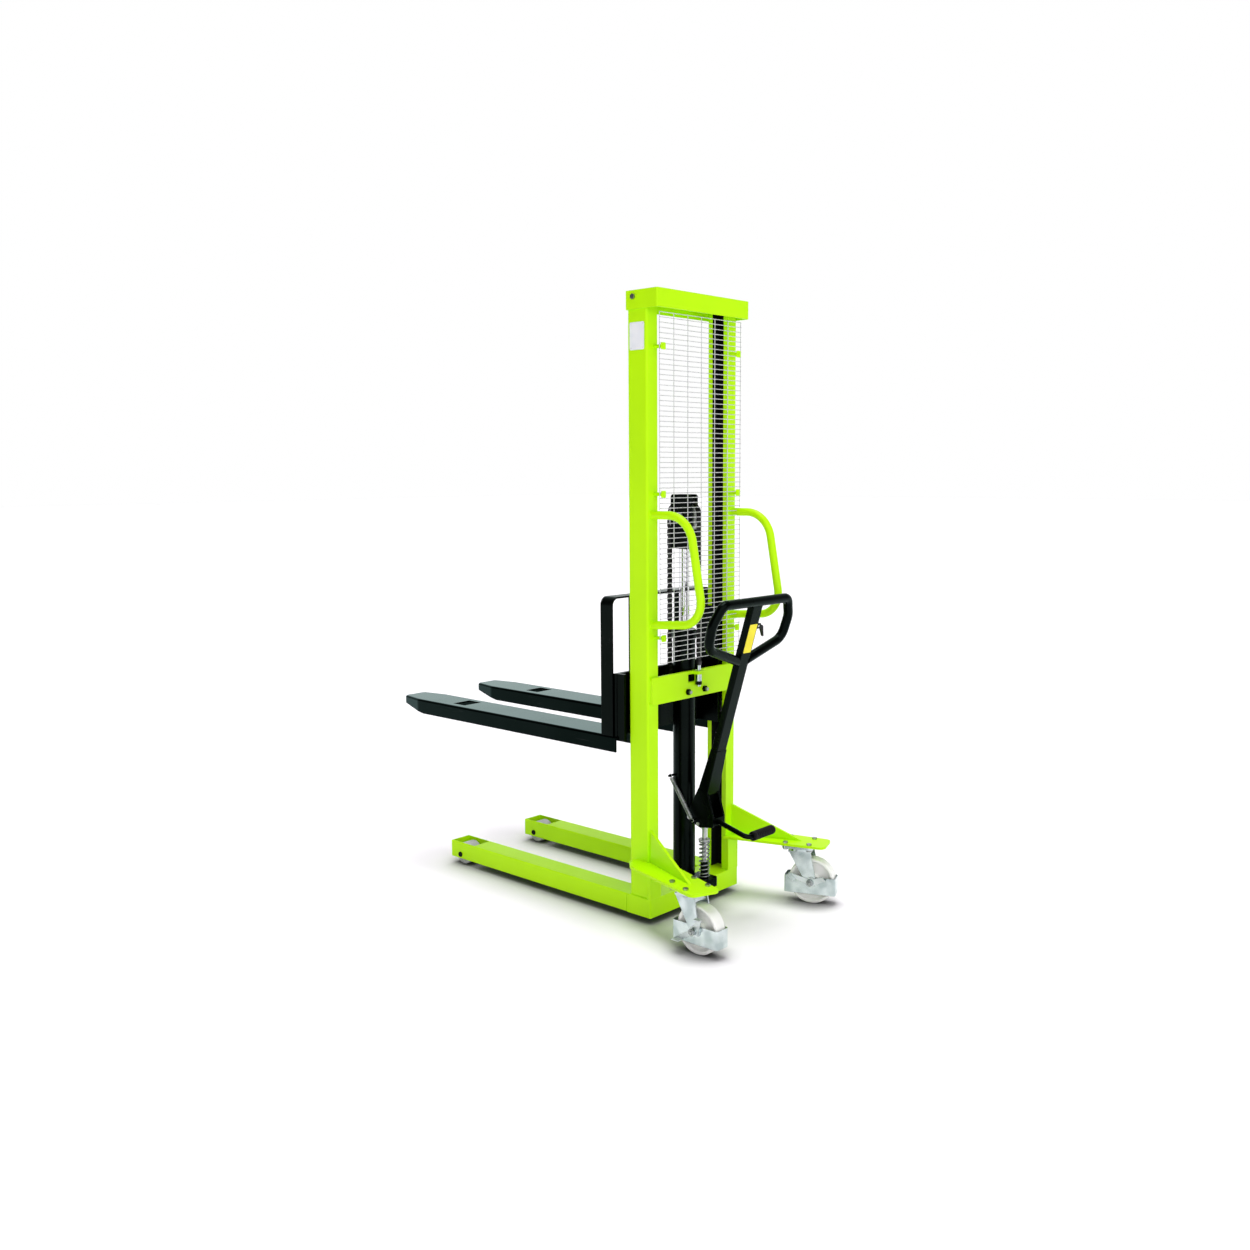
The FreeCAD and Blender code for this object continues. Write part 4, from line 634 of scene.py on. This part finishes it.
def wire_circle(bm, from_axis, wire, corners):
    """Stands a circle of wire beside the Z axis in an empty bmesh, ready to be spun round it."""
    upright = Matrix.Rotation(math.pi / 2, 4, "X")
    bmesh.ops.create_circle(bm, segments=corners, radius=wire,
                            matrix=Matrix.Translation((from_axis, 0, 0)) @ upright)
    return bm.verts[:] + bm.edges[:]


def wind(bm, coil_radius, wire, sections):
    """Winds a helix up from the floor; each section is a number of turns and their pitch."""
    geometry = wire_circle(bm, coil_radius, wire, COIL_CORNERS)
    for turns, pitch in sections:
        steps = round(turns * STEPS_PER_TURN)
        spun = bmesh.ops.spin(bm, geom=geometry, cent=(0, 0, 0), axis=(0, 0, 1), angle=turns * 2 * math.pi,
                              dvec=(0, 0, pitch / STEPS_PER_TURN), steps=steps, use_duplicate=False)
        geometry = spun["geom_last"]
    close_ends(bm)


def add_ring(bm, centre, axis, ring_radius, wire):
    """A full ring of wire about an axis, made by spinning a circle."""
    ring_bm = bmesh.new()
    geometry = wire_circle(ring_bm, ring_radius, wire, RING_CORNERS)
    bmesh.ops.spin(ring_bm, geom=geometry, cent=(0, 0, 0), axis=(0, 0, 1), angle=2 * math.pi,
                   steps=RING_STEPS, use_merge=True, use_duplicate=False)
    bmesh.ops.recalc_face_normals(ring_bm, faces=ring_bm.faces)
    template = template_mesh("ring", ring_bm)
    add_copy(bm, template, Matrix.Translation(centre) @ turn_to(axis))


pump_spring_low, pump_spring_high = node_box("piston_spring")
pump_wire, pump_turns = 0.0022, 10
closed_ease = 1.03
pump_coil_radius = (pump_spring_high.x - pump_spring_low.x) / 2 - pump_wire
closed_pitch = 2 * pump_wire * closed_ease
pump_span = pump_spring_high.z - pump_spring_low.z - 2 * pump_wire
open_pitch = (pump_span - 2 * closed_pitch) / (pump_turns - 2)
pump_spring = bmesh.new()
wind(pump_spring, pump_coil_radius, pump_wire,
     [(1, closed_pitch), (pump_turns - 2, open_pitch), (1, closed_pitch)])
pump_axis = (pump_spring_low + pump_spring_high) / 2
pump_axis.z = 0
bmesh.ops.translate(pump_spring, verts=pump_spring.verts,
                    vec=pump_axis + Vector((0, 0, pump_spring_low.z + pump_wire)))
pump_spring_piece = make_piece("pump_spring", pump_spring, spring_steel,
                               stands_for=["piston_spring"])
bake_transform(pump_spring_piece)

stud_out = -0.049
spring_foot = Vector((stud_out, -0.036, 0.325))
spring_head = Vector((stud_out, 0.060, 0.465))
return_wire, return_coil_radius, return_turns = 0.0013, 0.0067, 48
hook_radius = 0.0055
hook_room = hook_radius + return_wire
spring_way = (spring_head - spring_foot).normalized()
coil_length = (spring_head - spring_foot).length - 2 * hook_room - 2 * return_wire
return_spring = bmesh.new()
wind(return_spring, return_coil_radius, return_wire, [(return_turns, coil_length / return_turns)])
coil_foot = spring_foot + spring_way * (hook_room + return_wire)
bmesh.ops.transform(return_spring, verts=return_spring.verts,
                    matrix=Matrix.Translation(coil_foot) @ turn_to(spring_way))
for stud, into in ((spring_foot, spring_way), (spring_head, -spring_way)):
    add_ring(return_spring, stud, Vector((1, 0, 0)), hook_radius, return_wire)
    add_bar(return_spring, stud + into * hook_radius, stud + into * (hook_room + 2 * return_wire),
            return_wire, RING_CORNERS)
return_piece = make_piece("tiller_return_spring", return_spring, spring_steel,
                          stands_for=["return_spring"])
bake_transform(return_piece)

# %% [markdown]
# Wheels and rollers are lathe work: a closed outline of half a section is spun once round its axle.
# The castor wheel's outline has a round-edged tread, a sunk web and a raised hub. The load roller is
# a plain roller with a shallow ring cut in each end. The pedal's grip has low ribs and a domed end.

# %% Lathe helper
def turned_piece(outline, steps, closed=True):
    """Spins an outline of (radius, along) points round the Z axis."""
    bm = bmesh.new()
    points = [bm.verts.new((radius, 0, along)) for radius, along in outline]
    pairs = list(zip(points, points[1:] + points[:1] if closed else points[1:]))
    lines = [bm.edges.new(pair) for pair in pairs]
    bmesh.ops.spin(bm, geom=points + lines, cent=(0, 0, 0), axis=(0, 0, 1), angle=2 * math.pi, steps=steps,
                   use_merge=True, use_duplicate=False)
    bmesh.ops.remove_doubles(bm, verts=bm.verts, dist=1e-6)
    bmesh.ops.recalc_face_normals(bm, faces=bm.faces)
    return bm


def wheel_section(radius, half, rim, hub):
    """A wheel's closed section, from tread to bore and back on the other side. Points of the rim are
    steps down from the tread and in from the side, points of the hub are radii and steps in."""
    outline = [(radius - down, half - inward) for down, inward in rim]
    outline += [(around, half - inward) for around, inward in hub]
    return outline + [(around, -along) for around, along in reversed(outline)]


def lay_on_axle(bm, centre, axis):
    bmesh.ops.transform(bm, matrix=Matrix.Translation(centre) @ turn_to(axis), verts=bm.verts)


print("lathe helper ready")

# %% Castor wheels
castor_wheel_half, castor_bore, castor_steps = 0.0225, 0.0082, 72
round_tread = [(0.0, 0.004), (0.0012, 0.0012), (0.004, 0.0)]
castor_rim = round_tread + [(0.009, 0.0), (0.0105, 0.001), (0.014, 0.009), (0.018, 0.0105)]
castor_hub = [(0.034, 0.0115), (0.029, 0.010), (0.0265, 0.002), (0.0245, 0.0003), (castor_bore, 0.0003)]

for side in ("left", "right"):
    low, high = node_box(side + "_castor_wheel")
    axle = Vector(joints[side + "_castor_spin"]["axis"])
    section = wheel_section((high.z - low.z) / 2, castor_wheel_half, castor_rim, castor_hub)
    wheel = turned_piece(section, castor_steps)
    lay_on_axle(wheel, (low + high) / 2, axle)
    make_piece(side + "_moulded_castor_wheel", wheel, nylon, side + "_castor_wheel",
               [side + "_castor_wheel"], corner=50)

# %% Load rollers
roller_bore, roller_steps = 0.0102, 64
roller_rim = round_tread + [(0.011, 0.0), (0.0125, 0.003), (0.019, 0.003), (0.0205, 0.0004)]
roller_hub = [(roller_bore, 0.0004)]

for side in ("left", "right"):
    low, high = node_box(side + "_load_roller")
    section = wheel_section((high.z - low.z) / 2, (high.x - low.x) / 2, roller_rim, roller_hub)
    roller = turned_piece(section, roller_steps)
    lay_on_axle(roller, (low + high) / 2, Vector((1, 0, 0)))
    make_piece(side + "_ringed_load_roller", roller, roller_nylon, side + "_load_roller",
               [side + "_load_roller"], corner=50)

# %% Pedal grip
grip_low, grip_high = node_box("pedal_pad")
grip_radius = (grip_high.z - grip_low.z) / 2
grip_length = grip_high.x - grip_low.x
rod_radius, grip_steps = 0.0086, 40
round_start = [(0.003, 0.0), (0.0006, 0.0015), (0.0, 0.004)]
domed_end = [(0.0, 0.007), (0.0015, 0.003), (0.005, 0.0008)]
flat_share = 0.4
rib_count, rib_sink = 9, 0.0012
rib_shape = [(0.0, 0.0), (rib_sink, 0.15), (rib_sink, 0.35), (0.0, 0.5)]
rib_start, rib_end = 0.014, grip_length - 0.020
rib_step = (rib_end - rib_start) / rib_count

outline = [(rod_radius, 0.0)] + [(grip_radius - down, along) for down, along in round_start]
for rib in range(rib_count):
    foot = rib_start + rib * rib_step
    outline += [(grip_radius - down, foot + rib_step * share) for down, share in rib_shape]
outline += [(grip_radius - down, grip_length - back) for down, back in domed_end]
outline += [(grip_radius * flat_share, grip_length), (0.0, grip_length)]
grip = turned_piece(outline, grip_steps, closed=False)
lay_on_axle(grip, Vector((grip_low.x, (grip_low.y + grip_high.y) / 2, (grip_low.z + grip_high.z) / 2)),
            Vector((1, 0, 0)))
make_piece("ribbed_pedal_grip", grip, black_rubber, "tiller", ["pedal_pad"], corner=60)

# %% [markdown]
# A castor's axle is a through bolt with a hexagon nut at each end. A nut starts as a six-sided cone
# with equal ends, and its outer rim is bevelled, as the real one is chamfered. The bolt's end stands
# out a little. Only the nuts are new here: the bolt's round seat belongs to the frame.

# %% Castor axle nuts
nut_corner, nut_height, nut_chamfer = 0.0122, 0.008, 0.0011
bolt_end, bolt_tip, bolt_length, bolt_lift = 0.0062, 0.0054, 0.004, 0.0015
seat_of_side = {-1: 0.0439, 1: 0.0403}


def axle_nut():
    bm = bmesh.new()
    bmesh.ops.create_cone(bm, cap_ends=True, segments=6, radius1=nut_corner, radius2=nut_corner,
                          depth=nut_height, matrix=Matrix.Translation((0, 0, nut_height / 2)))
    rim = [edge for edge in bm.edges if all(vert.co.z > nut_height * 0.9 for vert in edge.verts)]
    bmesh.ops.bevel(bm, geom=rim, offset=nut_chamfer, segments=2, profile=0.5, affect="EDGES", material=-1)
    bmesh.ops.create_cone(bm, cap_ends=True, segments=16, radius1=bolt_end, radius2=bolt_tip,
                          depth=bolt_length, matrix=Matrix.Translation((0, 0, nut_height + bolt_lift)))
    return template_mesh("axle_nut", bm)


nut_template = axle_nut()
for side in ("left", "right"):
    low, high = node_box(side + "_castor_wheel")
    axle = Vector(joints[side + "_castor_spin"]["axis"]).normalized()
    nuts = bmesh.new()
    for end, reach in seat_of_side.items():
        way = axle * end
        add_copy(nuts, nut_template, Matrix.Translation((low + high) / 2 + way * reach) @ turn_to(way))
    make_piece(side + "_castor_nuts", nuts, bolt_steel, side + "_castor")

# %% [markdown]
# Rounded plates come from a cube: it is scaled, its upright corners are bevelled round, and its front
# rim gets a finer bevel. The left column carries a riveted blank plate, and the tiller a yellow film.
# Both are left plain. A rivet is a low cone, narrower at its top.

# %% Blank plate and yellow film
def rounded_plate(width, height, thickness, corner, rim):
    """A plate in the YZ plane with its back on x = 0 and its front towards -x."""
    bm = bmesh.new()
    bmesh.ops.create_cube(bm, size=1)
    bmesh.ops.scale(bm, vec=(thickness, width, height), verts=bm.verts)
    bmesh.ops.translate(bm, vec=(-thickness / 2, 0, 0), verts=bm.verts)
    upright = [edge for edge in bm.edges if abs(edge.verts[0].co.x - edge.verts[1].co.x) > thickness / 2]
    bmesh.ops.bevel(bm, geom=upright, offset=corner, segments=5, profile=0.5, affect="EDGES", material=-1)
    front = [edge for edge in bm.edges if all(vert.co.x < -thickness * 0.9 for vert in edge.verts)]
    bmesh.ops.bevel(bm, geom=front, offset=rim, segments=1, profile=0.5, affect="EDGES", material=-1)
    return bm


column_low, column_high = node_box("left_mast_channel")
blank_width, blank_height, blank_thickness, blank_middle = 0.062, 0.087, 0.0008, 1.9275
rivet_inset, rivet_foot, rivet_top, rivet_height = 0.006, 0.0024, 0.0015, 0.0011
blank_place = Vector((column_low.x, (column_low.y + column_high.y) / 2, blank_middle))
blank = rounded_plate(blank_width, blank_height, blank_thickness, corner=0.005, rim=0.0002)
for across in (-1, 1):
    for up in (-1, 1):
        foot = Vector((-blank_thickness, across * (blank_width / 2 - rivet_inset),
                       up * (blank_height / 2 - rivet_inset)))
        rivet = bmesh.new()
        bmesh.ops.create_cone(rivet, cap_ends=True, segments=14, radius1=rivet_foot, radius2=rivet_top,
                              depth=rivet_height, matrix=aim(foot, foot + Vector((-rivet_height, 0, 0))))
        add_copy(blank, template_mesh("rivet", rivet), Matrix.Identity(4))
bmesh.ops.translate(blank, vec=blank_place, verts=blank.verts)
make_piece("blank_plate", blank, plate_metal, "mast")

tiller_tilt = math.radians(16.57)
tiller_foot = Vector((0, -0.0389, 0.330))
tube_half_depth, film_up_tube = 0.0125, 0.661
film_bm = rounded_plate(width=0.040, height=0.100, thickness=0.0004, corner=0.003, rim=0.0001)
bmesh.ops.rotate(film_bm, cent=(0, 0, 0), matrix=Matrix.Rotation(math.pi / 2, 3, "Z"), verts=film_bm.verts)
bmesh.ops.translate(film_bm, vec=(0, -tube_half_depth, film_up_tube), verts=film_bm.verts)
bmesh.ops.transform(film_bm, matrix=Matrix.Translation(tiller_foot) @ Matrix.Rotation(tiller_tilt, 4, "X"),
                    verts=film_bm.verts)
make_piece("tiller_film", film_bm, yellow_film, "tiller")

# %% [markdown]
# The frame is welded. A weld bead is a low roll with a ripple every few millimetres, where each drop of
# metal froze. A straight bead is lathe work with a wavy outline, half sunk in the corner it fills, and
# a bead round a tube is a ring. They are painted with the steel, so they carry the same coat.

# %% Weld beads
bead_radius, bead_sides, ripple_step, ripple_dip = 0.0026, 8, 0.0035, 0.82


def add_bead(bm, start, end):
    length = (end - start).length
    count = max(2, round(length / ripple_step))
    outline = [(0.0, 0.0)]
    for ripple in range(2 * count - 1):
        swell = 1.0 if ripple % 2 == 0 else ripple_dip
        outline.append((bead_radius * swell, length * (ripple + 1) / (2 * count)))
    outline.append((0.0, length))
    bead = turned_piece(outline, bead_sides, closed=False)
    add_copy(bm, template_mesh("bead", bead), Matrix.Translation(start) @ turn_to(end - start))


beam_low, beam_high = node_box("mast_cross_beam")
bracket_top, bracket_front = 0.213, 0.056
side_bead_start, side_bead_inset = 0.010, 0.002
rear_face, beam_bead_inset = -0.0004, 0.012
cross_bead_start, cross_bead_end = 0.186, 0.214
root_proud = 0.0006
welds = bmesh.new()
for sign in (-1, 1):
    outer_face = sign * column_low.x
    for height, front in ((column_low.z, column_high.y), (bracket_top, bracket_front)):
        add_bead(welds, Vector((outer_face, side_bead_start, height)),
                 Vector((outer_face, front - side_bead_inset, height)))
    beam_end = sign * beam_high.x
    add_bead(welds, Vector((beam_end, rear_face, beam_low.z + beam_bead_inset)),
             Vector((beam_end, rear_face, beam_high.z - beam_bead_inset)))
    for edge_height in (beam_low.z, beam_high.z):
        add_bead(welds, Vector((sign * cross_bead_start, rear_face, edge_height)),
                 Vector((sign * cross_bead_end, rear_face, edge_height)))
    for root_height in root_heights:
        root = Vector((sign * (handle_low.x + handle_radius), -root_proud, root_height))
        add_ring(welds, root, Vector((0, 1, 0)), handle_radius + root_proud, bead_radius)
make_piece("frame_welds", welds, lime_paint, "mast", corner=60)

# %% [markdown]
# The chain's two ends sit in small forked blocks, one on the fixed stud and one on the carriage. Each
# is a bevelled block with a cross pin through it. They ride on the body they are bolted to.

# %% Chain end blocks
block_height, block_sink, block_round = 0.016, 0.001, 0.0015
block_wider, block_deeper = 0.001, 0.002
pin_share, pin_proud, end_pin_radius, end_pin_sides = 0.6, 0.002, pin_radius * 1.3, 12


def end_block(name, y, chain_end, body):
    foot = Vector((0, y, chain_end - block_sink))
    bm = bmesh.new()
    bmesh.ops.create_cube(bm, size=1)
    size = Vector((2 * chain_half + block_wider, 2 * plate_half_height + block_deeper, block_height))
    bmesh.ops.scale(bm, vec=size, verts=bm.verts)
    bmesh.ops.bevel(bm, geom=bm.edges[:], offset=block_round, segments=3, profile=0.5, affect="EDGES",
                    material=-1)
    bmesh.ops.translate(bm, vec=foot + Vector((0, 0, block_height / 2)), verts=bm.verts)
    centre = foot + Vector((0, 0, block_height * pin_share))
    reach = Vector((chain_half + pin_proud, 0, 0))
    add_bar(bm, centre - reach, centre + reach, end_pin_radius, end_pin_sides)
    make_piece(name, bm, oiled_chain, body)


end_block("rear_chain_block", rear_y, rear_low.z, "mast")
end_block("front_chain_block", front_y, front_low.z, "carriage")

# %% [markdown]
# Stackers are photographed on a white sweep, with one very wide soft lamp low behind the operator's
# place and one overhead. Sun lamps with a wide angle act like large soft boxes and light the floor
# evenly right to the horizon. The floor is painted darker close to what stands on it, as contact
# shadow, which an ambient occlusion node measures, and its white leans a little away from green,
# against the glow of the lime coat. It is staging, not part of the machine.

# %% Floor and light
OPEN_FLOOR = (0.94, 0.915, 0.95)
PAINTED_SHADOW_FLOOR = (0.10, 0.098, 0.101)
shade_reach = 0.13

floor_bm = bmesh.new()
bmesh.ops.create_grid(floor_bm, x_segments=1, y_segments=1, size=60)
floor_mesh = template_mesh("floor", floor_bm)
floor = bpy.data.objects.new("floor", floor_mesh)
bpy.context.scene.collection.objects.link(floor)
floor_finish, tree, shader, _ = new_finish("pale_floor", Roughness=0.8, Specular_IOR_Level=0.2)
# painted contact shadow: the floor's colour darkens where the ambient occlusion node finds something close above
# it
open_share = add(tree, "AmbientOcclusion", {"Distance": shade_reach}, samples=12).outputs["AO"]
openness = spread(tree, open_share, 0.30, 0.92, 0.0, 1.0)
tree.links.new(blend_colours(tree, openness, PAINTED_SHADOW_FLOOR, OPEN_FLOOR), shader.inputs["Base Color"])
floor_mesh.materials.append(floor_finish)


def soft_sun(name, from_way, strength, spread_angle):
    light = bpy.data.lights.new(name, "SUN")
    light.energy = strength
    light.angle = math.radians(spread_angle)
    lamp = bpy.data.objects.new(name, light)
    lamp.location = Vector(from_way) * 5
    lamp.rotation_euler = (-Vector(from_way)).to_track_quat("-Z", "Y").to_euler()
    bpy.context.scene.collection.objects.link(lamp)


soft_sun("key_lamp", (-0.46, -0.84, 0.28), 2.3, 90)
soft_sun("top_lamp", (0.06, 0.10, 1.0), 2.8, 36)
print("floor and", len(bpy.data.lights), "lamps")

# %% [markdown]
# The studio's walls are bright behind the machine, dimmer on the camera's side and dimmer overhead, so
# that black paint and metal have something to mirror. A picture of a room could light it too, but a few
# nodes that ask which way a ray goes need no file. The camera itself sees plain white.

# %% Studio walls
world = bpy.data.worlds.new("studio")
bpy.context.scene.world = world
world.use_nodes = True
sky = world.node_tree
background = sky.nodes["Background"]
background.inputs["Color"].default_value = (1, 1, 1, 1)
way = add(sky, "TexCoord").outputs["Generated"]
facing = add(sky, "VectorMath", {0: way, 1: forward}, operation="DOT_PRODUCT").outputs["Value"]
walls = spread(sky, facing, 0.0, 0.8, 0.12, 0.95)
climb = add(sky, "SeparateXYZ", {"Vector": way}).outputs["Z"]
studio = combine(sky, "MULTIPLY", walls, spread(sky, climb, 0.25, 0.8, 1.0, 0.5))
seen = add(sky, "LightPath").outputs["Is Camera Ray"]
sky.links.new(combine(sky, "MAXIMUM", studio, seen), background.inputs["Strength"])
bpy.context.scene.view_settings.view_transform = "Standard"
print("studio walls from", len(sky.nodes), "nodes")
